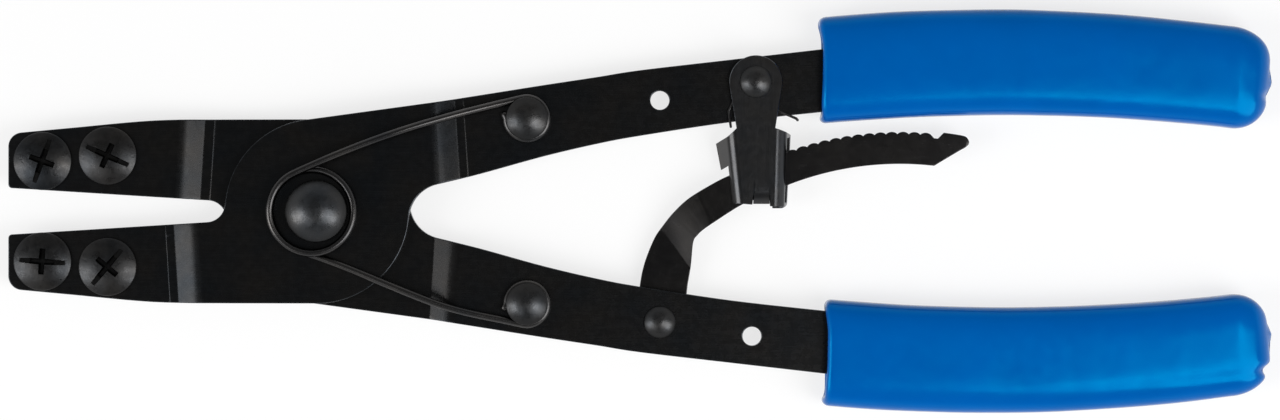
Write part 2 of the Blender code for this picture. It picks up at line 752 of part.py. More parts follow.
def hook(side):
    """The hook round a post, from where the leg meets it to its flared end."""
    radius = POST_NECK_RADIUS + FIT + WIRE_RADIUS
    end = HOOK_START - HOOK_SWEEP
    bend = arc(post_centre(), radius, HOOK_START, end, HOOK_POINTS)
    tail = arc(bend[-1], HOOK_END_LENGTH, end - 90 + HOOK_END_TURN, end, 1)[0]
    return [(x, y * side) for x, y in bend + [tail]]


def spring_points():
    """The return spring's centre line: upper hook and leg, coil downwards, lower leg and hook."""
    low = BOSS_FACE + FIT + WIRE_RADIUS
    high = low + COIL_PITCH * COIL_SWEEP / 360
    post = FACE + FIT + HOOK_LIFT + WIRE_RADIUS
    centre = (PIVOT_HEAD_RADIUS + FIT + WIRE_RADIUS - COIL_RADIUS, 0)
    steps = round(COIL_SWEEP * LOOP_POINTS / 360)
    turns = arc(centre, COIL_RADIUS, COIL_START, COIL_START + COIL_SWEEP, steps)
    coil = [(x, y, high + (low - high) * i / steps) for i, (x, y) in enumerate(turns)]

    upper_hook, lower_hook = hook(1), hook(-1)
    bend = tuple(place * share for place, share in zip(lower_hook[0], LOWER_LEG_BEND_SHARES))
    upper = leg(turns[0], UPPER_LEG_ANGLES[0], upper_hook[0], UPPER_LEG_ANGLES[1], LEG_POINTS)
    lower = leg(turns[-1], LOWER_LEG_ANGLES[0], bend, LOWER_LEG_ANGLES[1], LEG_POINTS // 2)
    lower += leg(bend, LOWER_LEG_ANGLES[1], lower_hook[0], LOWER_LEG_ANGLES[2], LEG_POINTS // 2)[1:]

    start = [(x, y, post) for x, y in upper_hook[:0:-1]]
    start += leg_heights(upper[:0:-1], high, post)
    end = leg_heights(lower[1:], low, post)
    return start + coil + end + [(x, y, post) for x, y in lower_hook[1:]]


def least_gap(points, radius):
    """The least gap between parts of a wire that lie more than half a loop apart along it."""
    knots = [Vector(point) for point in points]
    runs = [0]
    for first, second in zip(knots, knots[1:]):
        runs.append(runs[-1] + (second - first).length)
    least = runs[-1]
    for i, knot in enumerate(knots):
        for j in range(i + 1, len(knots) - 1):
            if runs[j] - runs[i] > math.pi * (POST_NECK_RADIUS + WIRE_RADIUS):
                near, share = intersect_point_line(knot, knots[j], knots[j + 1])
                near = knots[j].lerp(knots[j + 1], min(max(share, 0), 1))
                least = min(least, (near - knot).length)
    return least - 2 * radius


def clip_spring_points():
    """The clip spring: a leg along the clip's edge, a turn round its rivet, a leg hooked on the handle."""
    low = FACE + FIT + CLIP_WIRE_RADIUS
    high = FACE + CLIP_STANDOFF + CLIP_THICKNESS / 2
    radius = RIVET_SHANK_RADIUS + FIT + CLIP_WIRE_RADIUS
    turn = arc((0, 0), radius, CLIP_COIL_END, CLIP_COIL_START, CLIP_COIL_POINTS)
    edge, end = [clip_point(shares, low) for shares in CLIP_EDGE_LEG_SHARES]
    foot, corner = [clip_point(shares, low) for shares in CLIP_HOOK_LEG_SHARES]
    catch = clip_hole()
    centre, half = handle_at(catch[0] + corner[0])
    reach = centre - half - FIT - 2 * CLIP_WIRE_RADIUS - catch[1]
    bend = (corner[0] + CLIP_WIRE_RADIUS, reach - CLIP_WIRE_RADIUS, low - 2 * CLIP_WIRE_RADIUS)
    points = [(*end[:2], high), edge] + [(x, y, low) for x, y in turn]
    return points + [foot, (corner[0], reach, low), bend, (*bend[:2], low - CLIP_HOOK_DEPTH)]


def make_tip_screw(spot, side, centre, finish, parent):
    """A truss screw with a slot and a cross in its head, on its own axis."""
    name = f"tip_screw_{spot}"
    seat = FACE + FIT
    top = seat + SCREW_HEAD_SIDE + SCREW_DOME_HEIGHT
    foot = -FACE - SCREW_PROTRUSION
    profile = dome(SCREW_HEAD_RADIUS, seat + SCREW_HEAD_SIDE, SCREW_DOME_HEIGHT) + [
        (SCREW_HEAD_RADIUS, seat),
        (SCREW_SHANK_RADIUS, seat),
        (SCREW_SHANK_RADIUS, foot + SCREW_END_CHAMFER),
        (SCREW_SHANK_RADIUS - SCREW_END_CHAMFER, foot),
        (0, foot),
    ]
    place = (centre[0], centre[1] * side, MID)
    screw = turned(name, profile, finish, place, parent)
    over = SCREW_DOME_HEIGHT
    sizes = (
        ("slot", SCREW_SLOT_LENGTH, SCREW_SLOT_WIDTH, SCREW_SLOT_DEPTH),
        ("cross", SCREW_CROSS_WIDTH, SCREW_CROSS_LENGTH, SCREW_CROSS_DEPTH),
        ("cross_slot", SCREW_CROSS_LENGTH, SCREW_CROSS_WIDTH, SCREW_CROSS_DEPTH),
    )
    for kind, length, width, depth in sizes:
        where = (place[0], place[1], place[2] + top + (over - depth) / 2)
        angle = math.radians(SCREW_TURNS[spot])
        cut(screw, f"{name}_{kind}_cutter", box(length, width, depth + over), where, (0, 0, angle))


def make_post(name, side, finish, parent):
    neck_foot = FACE + FIT
    neck_top = neck_foot + HOOK_LIFT + 2 * WIRE_RADIUS + FIT
    tail = -FACE - FIT
    profile = dome(POST_HEAD_RADIUS, neck_top + POST_HEAD_SIDE, POST_DOME_HEIGHT) + [
        (POST_HEAD_RADIUS, neck_top),
        (POST_NECK_RADIUS, neck_top),
        (POST_NECK_RADIUS, neck_foot),
        (POST_SHANK_RADIUS, neck_foot),
        (POST_SHANK_RADIUS, tail),
        (RIVET_TAIL_RADIUS, tail),
        (RIVET_TAIL_RADIUS, tail - RIVET_TAIL_THICKNESS),
        (0, tail - RIVET_TAIL_THICKNESS),
    ]
    x, y = post_centre()
    return turned(name, profile, finish, (x, y * side, MID), parent)


def make_rivet(name, seat, tail, finish, place, parent):
    """A small domed rivet, from the seat under its head to the top of its tail."""
    side_top = seat + RIVET_HEAD_SIDE
    profile = headed_pin(
        dome(RIVET_HEAD_RADIUS, side_top, RIVET_DOME_HEIGHT),
        (RIVET_HEAD_RADIUS, side_top, seat),
        (RIVET_SHANK_RADIUS, seat, tail),
        (RIVET_TAIL_RADIUS, tail, tail - RIVET_TAIL_THICKNESS),
    )
    return turned(name, profile, finish, place, parent)


def make_pivot(steel, parent):
    """The pivot rivet, whose flat tail is level with the grips, and the washer above that tail."""
    seat = MID + BOSS_FACE + FIT
    washer_top = MID - BOSS_FACE - FIT
    tail = washer_top - WASHER_THICKNESS - FIT
    side_top = seat + PIVOT_HEAD_SIDE
    profile = headed_pin(
        dome(PIVOT_HEAD_RADIUS, side_top, PIVOT_DOME_HEIGHT, 7),
        (PIVOT_HEAD_RADIUS, side_top, seat),
        (PIVOT_SHANK_RADIUS, seat, tail),
        (PIVOT_TAIL_RADIUS, tail, 0),
        PIVOT_TAIL_CHAMFER,
    )
    turned("pivot_rivet", profile, steel, (0, 0, 0), parent)
    ring = [(PIVOT_SHANK_RADIUS + FIT, washer_top), (WASHER_RADIUS, washer_top)]
    ring += [(radius, height - WASHER_THICKNESS) for radius, height in ring[::-1]]
    turned("pivot_washer", ring + ring[:1], steel, (0, 0, 0), parent)


def make_grip(name, side, finish, parent):
    turn = (0, 0, 0) if side > 0 else (math.pi, 0, 0)
    place = (0, 0, MID)
    grip = add(name, grip_mesh(), finish, place, turn, parent)
    shade_round(grip)
    cut(grip, f"{name}_pocket_cutter", pocket_mesh(), place, turn)
    cut(grip, f"{name}_socket_cutter", socket_mesh(), place, turn)
    return grip


def make_arms(black, back_half, front_half):
    bar_pin = (bar_hole(), RIVET_SHANK_RADIUS + FIT)
    clip_pin = (clip_hole(), RIVET_SHANK_RADIUS + FIT)
    upper_holes = [(bar_hole(), HANG_HOLE_RADIUS), clip_pin]
    lower_holes = [bar_pin, (lower_hang_hole(), HANG_HOLE_RADIUS)]
    add("front_arm", arm_mesh(upper_holes), black, (0, 0, MID), parent=front_half)
    add("back_arm", arm_mesh(lower_holes), black, (0, 0, MID), (math.pi, 0, 0), back_half)


def make_lock(black, zinc, back_half, front_half):
    """The ratchet bar on the lower handle and the sprung clip on the upper one, with their rivets."""
    x, y = bar_hole()
    bar_body = body("bar_axis", (x, -y, MID), back_half)
    bar = add("ratchet_bar", bar_mesh(), black, (0, 0, 0), parent=bar_body)
    shade_round(bar)
    seat = FACE + FIT
    make_rivet("ratchet_rivet", seat, -seat - BAR_THICKNESS - FIT, zinc, (x, -y, MID), back_half)

    place = (*clip_hole(), MID)
    clip_body = body("clip_axis", place, front_half)
    clip = add("lock_clip", clip_mesh(), zinc, (0, 0, 0), parent=clip_body)
    shade_round(clip)
    sheet = clip.modifiers.new("sheet", "SOLIDIFY")
    sheet.thickness = CLIP_THICKNESS
    sheet.offset = 0
    hole = plate(arc((0, 0), RIVET_SHANK_RADIUS + FIT, 0, 360, ROUND_STEPS)[:-1], CLIP_FLANGE_DEPTH)
    cut(clip, "rivet_hole_cutter", hole, (*place[:2], MID + FACE + CLIP_STANDOFF))
    cut_bar_way(clip, place)
    seat = FACE + CLIP_STANDOFF + CLIP_THICKNESS + FIT
    make_rivet("clip_rivet", seat, -FACE - FIT, zinc, place, front_half)
    wire("clip_spring", clip_spring_points(), CLIP_WIRE_RADIUS, zinc, place, front_half)


def main():
    black = material("black_oxide_steel", (0.035, 0.035, 0.037), 0.42, 0.85)
    dark = material("oiled_spring_steel", (0.05, 0.05, 0.055), 0.3, 0.95)
    zinc = material("zinc_plate", (0.32, 0.33, 0.35), 0.35, 0.9)
    blue = material("blue_vinyl", (0.0, 0.11, 0.42), 0.38, 0)

    back_half = body("back_half")
    front_half = body("front_half")
    make_arms(black, back_half, front_half)
    make_grip("upper_grip", 1, blue, front_half)
    make_grip("lower_grip", -1, blue, back_half)
    make_pivot(dark, back_half)
    make_post("upper_spring_post", 1, zinc, front_half)
    make_post("lower_spring_post", -1, zinc, back_half)
    make_lock(black, zinc, back_half, front_half)
    make_tip_screw("upper_outer", -1, outer_screw(), zinc, back_half)
    make_tip_screw("upper_inner", -1, inner_screw(), zinc, back_half)
    make_tip_screw("lower_outer", 1, outer_screw(), zinc, front_half)
    make_tip_screw("lower_inner", 1, inner_screw(), zinc, front_half)

    points = spring_points()
    wire("return_spring", points, WIRE_RADIUS, dark, (0, 0, MID), back_half)
    print(f"return_spring's least gap to itself: {1000 * least_gap(points, WIRE_RADIUS):.2f} mm")


main()
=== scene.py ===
"""Locking snap-ring pliers, dressed for a plain pale studio.

Each sub-assembly is a class that holds its own sizes, builds its own forms over
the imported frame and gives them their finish. Sizes are in millimetres, in the
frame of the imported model, and are turned into metres as each form is finished.
"""

import logging
import math
from collections.abc import Sequence
from dataclasses import dataclass, field
from enum import Enum

import bmesh
import bpy
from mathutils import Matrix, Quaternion, Vector
from mathutils.noise import noise

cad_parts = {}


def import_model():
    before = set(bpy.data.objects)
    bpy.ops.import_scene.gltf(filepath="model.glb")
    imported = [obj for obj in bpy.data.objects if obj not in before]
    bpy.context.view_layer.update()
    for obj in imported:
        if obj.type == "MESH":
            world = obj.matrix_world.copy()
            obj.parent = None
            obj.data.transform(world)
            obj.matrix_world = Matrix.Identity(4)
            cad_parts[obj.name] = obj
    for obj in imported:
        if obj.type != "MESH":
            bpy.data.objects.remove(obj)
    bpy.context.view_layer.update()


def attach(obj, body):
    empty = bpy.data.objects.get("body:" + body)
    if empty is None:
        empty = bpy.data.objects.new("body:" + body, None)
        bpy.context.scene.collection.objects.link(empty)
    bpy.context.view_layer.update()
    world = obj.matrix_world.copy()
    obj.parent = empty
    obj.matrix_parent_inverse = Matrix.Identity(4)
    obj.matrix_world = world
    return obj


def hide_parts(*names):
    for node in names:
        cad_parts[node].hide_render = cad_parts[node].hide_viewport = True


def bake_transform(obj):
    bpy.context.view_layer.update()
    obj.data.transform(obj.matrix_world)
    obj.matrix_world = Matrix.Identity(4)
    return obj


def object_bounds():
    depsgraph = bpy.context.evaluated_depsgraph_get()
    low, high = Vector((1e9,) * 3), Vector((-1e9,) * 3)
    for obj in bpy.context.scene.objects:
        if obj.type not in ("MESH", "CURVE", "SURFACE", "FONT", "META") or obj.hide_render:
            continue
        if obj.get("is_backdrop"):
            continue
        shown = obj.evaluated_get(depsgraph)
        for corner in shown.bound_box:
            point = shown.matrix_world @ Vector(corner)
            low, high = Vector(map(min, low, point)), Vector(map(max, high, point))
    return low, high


LOG = logging.getLogger("pliers")
MM = 0.001
WELD = 0.003
FLAT_TURN = 15
MOST_CUT = 0.45
Point = tuple[float, float]
Place = tuple[float, float, float]


class Body(Enum):
    """The bodies of the frame that pieces move with."""

    BACK = "back_half"
    FRONT = "front_half"
    BAR = "bar"
    CLIP = "clip"
    UPPER_OUTER = "screw_upper_outer"
    UPPER_INNER = "screw_upper_inner"
    LOWER_OUTER = "screw_lower_outer"
    LOWER_INNER = "screw_lower_inner"


class Slot(Enum):
    """The record's material slots."""

    BLACK = "black_oxide_steel"
    DARK = "dark_steel"
    SPRING = "spring_steel"
    ZINC = "zinc_steel"
    VINYL = "blue_vinyl"


class Side(Enum):
    """Which handle a piece belongs to; the value is the sign of its Y."""

    UPPER = 1
    LOWER = -1


# outlines


def arc(centre: Point, radius: float, start: float, end: float, steps: int) -> list[Point]:
    """Points along an arc, in degrees anticlockwise from +X."""
    turns = [math.radians(start + (end - start) * i / steps) for i in range(steps + 1)]
    return [(centre[0] + radius * math.cos(t), centre[1] + radius * math.sin(t)) for t in turns]


def bearing(point: Point, centre: Point = (0, 0)) -> float:
    """Direction of a point from a centre, in degrees."""
    return math.degrees(math.atan2(point[1] - centre[1], point[0] - centre[0]))


def between(low: tuple, high: tuple, share: float) -> tuple:
    """The place at a share of the way from one place to another."""
    return tuple(a + (b - a) * share for a, b in zip(low, high))


def round_corner(before: Point, corner: Point, after: Point, radius: float, steps: int = 10) -> list[Point]:
    """The arc in a convex corner of an anticlockwise outline.

    Args:
        before: the point before the corner.
        corner: the sharp corner.
        after: the point after it.
        radius: of the rounding.
        steps: along the arc.

    Returns:
        The arc's points, both ends among them.
    """
    back = math.radians(bearing(before, corner))
    ahead = math.radians(bearing(after, corner))
    half = ((back - ahead) % math.tau) / 2
    reach = radius / math.sin(half)
    centre = (corner[0] + reach * math.cos(ahead + half), corner[1] + reach * math.sin(ahead + half))
    start = math.degrees(back) + 90
    return arc(centre, radius, start, start + 180 - math.degrees(2 * half), steps)


def passing(a: float, b: float, c: float, d: float, t: float) -> float:
    """Value between b and c on the curve that runs through a, b, c and d."""
    return 0.5 * (2 * b + (c - a) * t + (2 * a - 5 * b + 4 * c - d) * t**2 + (3 * b - a - 3 * c + d) * t**3)


def smooth(points: list[Point], steps: int = 6) -> list[Point]:
    """A curve through the points, with its ends kept.

    Args:
        points: that the curve runs through.
        steps: between two of them.

    Returns:
        The curve's points.
    """
    knots = [points[0]] + points + [points[-1]]
    made = []
    for p0, p1, p2, p3 in zip(knots, knots[1:], knots[2:], knots[3:]):
        for i in range(steps):
            made.append(tuple(passing(*values, i / steps) for values in zip(p0, p1, p2, p3)))
    return made + [points[-1]]


def soften(profile: list[Point], radius: float, steps: int = 4) -> list[Point]:
    """Rounds the corners of an open profile.

    Args:
        profile: points of the profile.
        radius: the most that a corner is cut back.
        steps: along each corner.

    Returns:
        The profile with its corners rounded.
    """
    made = [profile[0]]
    for before, corner, after in zip(profile, profile[1:], profile[2:]):
        back, ahead = math.dist(before, corner), math.dist(corner, after)
        turn = abs((bearing(corner, before) - bearing(after, corner) + 180) % 360 - 180)
        if turn < FLAT_TURN or min(back, ahead) < WELD:
            made.append(corner)
            continue
        cut = min(radius, back * MOST_CUT, ahead * MOST_CUT)
        first, last = between(corner, before, cut / back), between(corner, after, cut / ahead)
        for i in range(steps + 1):
            t = i / steps
            made.append(between(between(first, corner, t), between(corner, last, t), t))
    return made + [profile[-1]]


def bowed(
    start: Point, leaving: float, end: Point, arriving: float, steps: int, pull: float = 0.36
) -> list[Point]:
    """A bowed line between two places, leaving and arriving at the given angles.

    Args:
        start: where the line leaves.
        leaving: its direction there, in degrees.
        end: where it arrives.
        arriving: its direction there, in degrees.
        steps: along the line.
        pull: how far it keeps either direction, as a share of its length.

    Returns:
        The line's points.
    """
    reach = math.dist(start, end) * pull
    first = arc(start, reach, leaving, leaving, 1)[0]
    second = arc(end, reach, arriving + 180, arriving + 180, 1)[0]
    made = []
    for i in range(steps + 1):
        t = i / steps
        early = between(between(start, first, t), between(first, second, t), t)
        late = between(between(first, second, t), between(second, end, t), t)
        made.append(between(early, late, t))
    return made


# forms


def pressing(
    outline: Sequence[Point], thickness: float, holes: Sequence[tuple[Point, float]] = (), edge: float = 0.0
) -> bmesh.types.BMesh:
    """A flat pressing about z = 0, with round holes and rounded edges.

    Args:
        outline: its edge, anticlockwise.
        thickness: of the sheet.
        holes: (centre, radius) of each hole.
        edge: radius of the rounding along every edge, whose faces are marked as worn.

    Returns:
        The form, closed and facing outward.
    """
    form = bmesh.new()
    wear_and_shade = form.faces.layers.float.new("wear_and_shade")
    leans = [math.radians(lean) for lean in ((0, 30, 60, 90) if edge else (90,))]
    lower = [(edge * (1 - math.sin(a)), edge * (1 - math.cos(a)) - thickness / 2) for a in leans]
    levels = lower + [(inset, -height) for inset, height in lower[::-1]]
    caps: tuple[list, list] = ([], [])
    for loop in [list(outline)] + [arc(centre, radius, 360, 0, 48)[:-1] for centre, radius in holes]:
        pairs = zip([loop[-1]] + loop[:-1], loop)
        loop = [point for last, point in pairs if math.dist(last, point) > 10 * WELD]
        rings = []
        for inset, height in levels:
            rings.append([form.verts.new((*point, height)) for point in inward(loop, inset)])
        for k in range(len(loop)):
            after = (k + 1) % len(loop)
            for i, (first, second) in enumerate(zip(rings, rings[1:])):
                face = form.faces.new((first[k], first[after], second[after], second[k]))
                face[wear_and_shade] = float(i != len(lower) - 1)
        for cap, ring in zip(caps, (rings[0], rings[-1])):
            cap += [form.edges.get((a, b)) for a, b in zip(ring, ring[1:] + ring[:1])]
    for cap, sign in zip(caps, (-1, 1)):
        bmesh.ops.triangle_fill(form, use_beauty=True, use_dissolve=False, edges=cap, normal=(0, 0, sign))
    bmesh.ops.recalc_face_normals(form, faces=form.faces)
    return form


def inward(loop: Sequence[Point], inset: float) -> list[Point]:
    """A closed outline moved to its left by an inset.

    Args:
        loop: the outline.
        inset: how far it moves.

    Returns:
        As many points, moved.
    """
    made = []
    for before, here, after in zip([loop[-1], *loop[:-1]], loop, [*loop[1:], loop[0]]):
        back, ahead = math.dist(before, here), math.dist(here, after)
        x0, y0 = (before[1] - here[1]) / back, (here[0] - before[0]) / back
        x1, y1 = (here[1] - after[1]) / ahead, (after[0] - here[0]) / ahead
        reach = inset / max(1 + x0 * x1 + y0 * y1, 0.4)
        made.append((here[0] + (x0 + x1) * reach, here[1] + (y0 + y1) * reach))
    return made


def linked(name: str, data: bpy.types.ID) -> bpy.types.Object:
    """A new object of the scene, from a mesh, a camera or a lamp.

    Args:
        name: of the object.
        data: that it shows.

    Returns:
        The object.
    """
    obj = bpy.data.objects.new(name, data)
    bpy.context.scene.collection.objects.link(obj)
    return obj


def evaluated(obj: bpy.types.Object) -> bmesh.types.BMesh:
    """The form that an object's modifiers make; the object is removed.

    Args:
        obj: the object.

    Returns:
        Its form, in one material.
    """
    mesh = bpy.data.meshes.new_from_object(obj.evaluated_get(bpy.context.evaluated_depsgraph_get()))
    bpy.data.objects.remove(obj)
    form = bmesh.new()
    form.from_mesh(mesh)
    bpy.data.meshes.remove(mesh)
    for face in form.faces:
        face.material_index = 0
    return form


def score(form: bmesh.types.BMesh, low: Point, high: Point) -> None:
    """Splits a pressing's faces along the upright plane through two points.

    Args:
        form: the pressing, changed in place.
        low: one point of the plane.
        high: another.
    """
    normal = (high[1] - low[1], low[0] - high[0], 0)
    parts = form.verts[:] + form.edges[:] + form.faces[:]
    bmesh.ops.bisect_plane(form, geom=parts, plane_co=(*low, 0), plane_no=normal, dist=WELD)


def lathe(profile: list[Point], steps: int = 96) -> bmesh.types.BMesh:
    """A turned form, whose profile may start and end on the axis.

    Args:
        profile: (radius, height) of each point.
        steps: round the axis.

    Returns:
        The form, closed and facing outward.
    """
    form = bmesh.new()
    rings = []
    for radius, height in profile:
        count = steps if radius > WELD else 1
        turns = [math.tau * k / count for k in range(count)]
        rings.append([form.verts.new((radius * math.cos(t), radius * math.sin(t), height)) for t in turns])
    if len(rings[0]) > 1 and math.dist(profile[0], profile[-1]) < WELD:
        for vertex in rings.pop():
            form.verts.remove(vertex)
        rings.append(rings[0])
    for first, second in zip(rings, rings[1:]):
        for k in range(steps):
            corners = [first[k % len(first)], second[k % len(second)]]
            corners += [second[(k + 1) % len(second)], first[(k + 1) % len(first)]]
            corners = list(dict.fromkeys(corners))
            if len(corners) > 2:
                form.faces.new(corners)
    bmesh.ops.recalc_face_normals(form, faces=form.faces)
    return form


def rod(path: Sequence[Place], radius: float, sides: int = 16) -> bmesh.types.BMesh:
    """A round wire along a path, with rounded ends.

    Args:
        path: the wire's middle line.
        radius: of the wire.
        sides: of its section.

    Returns:
        The form.
    """
    knots = [Vector(p) for p in path]
    runs = [(b - a).normalized() for a, b in zip(knots, knots[1:])]
    ways = [runs[0]] + [(a + b).normalized() for a, b in zip(runs, runs[1:])] + [runs[-1]]
    nose = [(radius * (1 - math.cos(lean)), radius * math.sin(lean)) for lean in (0.2, 0.6, 1.1)]
    stations = [(knots[0] + ways[0] * back, ways[0], size) for back, size in nose]
    stations += [(place, way, radius) for place, way in zip(knots[1:-1], ways[1:-1])]
    stations += [(knots[-1] - ways[-1] * back, ways[-1], size) for back, size in nose[::-1]]
    side = ways[0].orthogonal()
    last = ways[0]
    rings = []
    for place, way, size in stations:
        side = last.rotation_difference(way) @ side
        side = (side - way * side.dot(way)).normalized()
        last = way
        rings.append([place + size * (Quaternion(way, math.tau * k / sides) @ side) for k in range(sides)])
    return loft(rings)


def loft(rings: Sequence[Sequence[Place]]) -> bmesh.types.BMesh:
    """A closed form through rings of as many points each.

    Args:
        rings: the sections, one after the other.

    Returns:
        The form, closed and facing outward.
    """
    form = bmesh.new()
    made = [[form.verts.new(place) for place in ring] for ring in rings]
    for first, second in zip(made, made[1:]):
        for k in range(len(first)):
            after = (k + 1) % len(first)
            form.faces.new((first[k], first[after], second[after], second[k]))
    form.faces.new(made[0])
    form.faces.new(made[-1])
    bmesh.ops.recalc_face_normals(form, faces=form.faces)
    return form


def recess(length: float, width: float, inset: float, top: float, depth: float) -> bmesh.types.BMesh:
    """A cutter for a slot, whose walls lean in by the inset from its top to its floor.

    Args:
        length: of the slot at its top.
        width: of the slot at its top.
        inset: how far the walls lean in.
        top: level of the head's skin.
        depth: from there to the floor.

    Returns:
        The cutter.
    """
    rings = []
    for height, lean in ((top + depth, 0), (top, 0), (top - depth, inset)):
        x, y = length / 2 - lean, width / 2 - lean
        rings.append([(x, y, height), (-x, y, height), (-x, -y, height), (x, -y, height)])
    return loft(rings)


def carve(form: bmesh.types.BMesh, cutters: Sequence[bmesh.types.BMesh]) -> bmesh.types.BMesh:
    """Cuts the cutters out of a form.

    Args:
        form: what is cut, used up.
        cutters: what cuts it, used up.

    Returns:
        What is left.
    """
    made = []
    for part in [form, *cutters]:
        mesh = bpy.data.meshes.new("blank")
        part.to_mesh(mesh)
        part.free()
        made.append(linked("blank", mesh))
    for tool in made[1:]:
        cut = made[0].modifiers.new("cut", "BOOLEAN")
        cut.operation = "DIFFERENCE"
        cut.solver = "EXACT"
        cut.object = tool
    left = evaluated(made[0])
    for obj in made[1:]:
        bpy.data.objects.remove(obj)
    bmesh.ops.remove_doubles(left, verts=left.verts, dist=WELD / 10)
    return left


def break_edges(form: bmesh.types.BMesh, width: float, limit: float) -> None:
    """Breaks a form's sharp edges and marks the new faces as worn.

    Args:
        form: changed in place.
        width: of the new faces.
        limit: the angle in degrees from which an edge is sharp.
    """
    wear_and_shade = form.faces.layers.float.get("wear_and_shade") or form.faces.layers.float.new("wear_and_shade")
    sharp = [e for e in form.edges if len(e.link_faces) == 2 and math.degrees(e.calc_face_angle(0)) > limit]
    made = bmesh.ops.bevel(form, geom=sharp, offset=width, segments=1, profile=0.5, affect="EDGES")
    for face in made["faces"]:
        face[wear_and_shade] = 1


def to_mesh(form: bmesh.types.BMesh, name: str, crease: float = 32) -> bpy.types.Mesh:
    """Turns a form into a mesh in metres, smooth but for its creases.

    Args:
        form: used up.
        name: of the mesh.
        crease: the angle in degrees from which an edge stays sharp.

    Returns:
        The mesh.
    """
    if not form.faces.layers.float.get("wear_and_shade"):
        form.faces.layers.float.new("wear_and_shade")
    for face in form.faces:
        face.smooth = True
    for edge in form.edges:
        edge.smooth = len(edge.link_faces) != 2 or math.degrees(edge.calc_face_angle(0)) < crease
    bmesh.ops.scale(form, vec=(MM, MM, MM), verts=form.verts)
    mesh = bpy.data.meshes.new(name)
    form.to_mesh(mesh)
    form.free()
    return mesh


def shift(form: bmesh.types.BMesh, place: Place) -> bmesh.types.BMesh:
    """Moves a form to its place."""
    bmesh.ops.translate(form, vec=place, verts=form.verts)
    return form


def turn_over(form: bmesh.types.BMesh) -> bmesh.types.BMesh:
    """Turns a form half round about the X axis.

    Args:
        form: changed in place.

    Returns:
        The same form.
    """
    for vertex in form.verts:
        vertex.co.y, vertex.co.z = -vertex.co.y, -vertex.co.z
    return form


# finishes

BLUISH = (0.9, 1.0, 1.12)
COOL = (0.92, 0.99, 1.1)
ROSY = (1.02, 1.0, 1.04)
EVEN = (1, 1, 1)


@dataclass
class Brew:
    """A node material under construction."""

    name: str
    material: bpy.types.Material = field(init=False)

    def __post_init__(self) -> None:
        """Starts from a bare Principled shader."""
        self.material = bpy.data.materials.new(self.name)
        self.material.use_nodes = True
        self.tree = self.material.node_tree
        self.shader = self.tree.nodes["Principled BSDF"]
        self.coords = self.tree.nodes.new("ShaderNodeTexCoord").outputs["Object"]

    def feed(self, socket: bpy.types.NodeSocket, value: object) -> None:
        """Links a socket to another one or sets its value.

        Args:
            socket: the input.
            value: an output or a plain value.
        """
        if isinstance(value, bpy.types.NodeSocket):
            self.tree.links.new(value, socket)
        else:
            socket.default_value = value

    def noise(self, size: float, detail: float = 3, stretch: Place = (1, 1, 1)) -> bpy.types.NodeSocket:
        """Noise whose grains are about a size in millimetres, stretched along an axis.

        Args:
            size: of the grains, in millimetres.
            detail: of the noise.
            stretch: how much longer the grains are along each axis.

        Returns:
            The noise, from 0 to 1.
        """
        mapping = self.tree.nodes.new("ShaderNodeMapping")
        mapping.inputs["Scale"].default_value = tuple(1 / (size * MM * s) for s in stretch)
        self.feed(mapping.inputs["Vector"], self.coords)
        node = self.tree.nodes.new("ShaderNodeTexNoise")
        node.inputs["Scale"].default_value = 1
        node.inputs["Detail"].default_value = detail
        self.feed(node.inputs["Vector"], mapping.outputs["Vector"])
        return node.outputs["Fac"]

    def span(
        self, value: object, low: float, high: float, start: float = 0, end: float = 1
    ) -> bpy.types.NodeSocket:
        """Maps a value from low..high to start..end, held at its ends.

        Args:
            value: what is mapped.
            low: its low end.
            high: its high end.
            start: result at the low end.
            end: result at the high end.

        Returns:
            The mapped value.
        """
        node = self.tree.nodes.new("ShaderNodeMapRange")
        self.feed(node.inputs["Value"], value)
        for name, number in (("From Min", low), ("From Max", high), ("To Min", start), ("To Max", end)):
            node.inputs[name].default_value = number
        return node.outputs["Result"]

    def sum(self, kind: str, first: object, second: object) -> bpy.types.NodeSocket:
        """A Math node's result.

        Args:
            kind: of sum, as the Math node names it.
            first: number or output.
            second: number or output.

        Returns:
            The result.
        """
        node = self.tree.nodes.new("ShaderNodeMath")
        node.operation = kind
        self.feed(node.inputs[0], first)
        self.feed(node.inputs[1], second)
        return node.outputs["Value"]

    def mix(self, share: object, first: object, second: object) -> bpy.types.NodeSocket:
        """Two colours mixed by a share.

        Args:
            share: of the second colour.
            first: colour or output.
            second: colour or output.

        Returns:
            The mixed colour.
        """
        node = self.tree.nodes.new("ShaderNodeMix")
        node.data_type = "RGBA"
        factor, low, high = (node.inputs[index] for index in (0, 6, 7))
        self.feed(factor, share)
        self.feed(low, first)
        self.feed(high, second)
        return node.outputs[2]

    def wear_and_shade(self) -> bpy.types.NodeSocket:
        """The faces' own mark of wear, and of painted shade below zero.

        Returns:
            One on the faces that were marked as worn, down to minus one where shade is painted.
        """
        node = self.tree.nodes.new("ShaderNodeAttribute")
        node.attribute_name = "wear_and_shade"
        return node.outputs["Fac"]

    def bump(self, height: object, depth: float, under: object = None) -> bpy.types.NodeSocket:
        """A normal from a height, whose full range is a depth in millimetres.

        Args:
            height: from 0 to 1.
            depth: of the full range.
            under: a normal that this one lies on.

        Returns:
            The normal.
        """
        node = self.tree.nodes.new("ShaderNodeBump")
        node.inputs["Distance"].default_value = depth * MM
        self.feed(node.inputs["Height"], height)
        if under is not None:
            self.feed(node.inputs["Normal"], under)
        return node.outputs["Normal"]


def grey(value: float, cast: Place = (1, 1, 1)) -> tuple[float, float, float, float]:
    """A grey with a slight cast."""
    return (value * cast[0], value * cast[1], value * cast[2], 1)


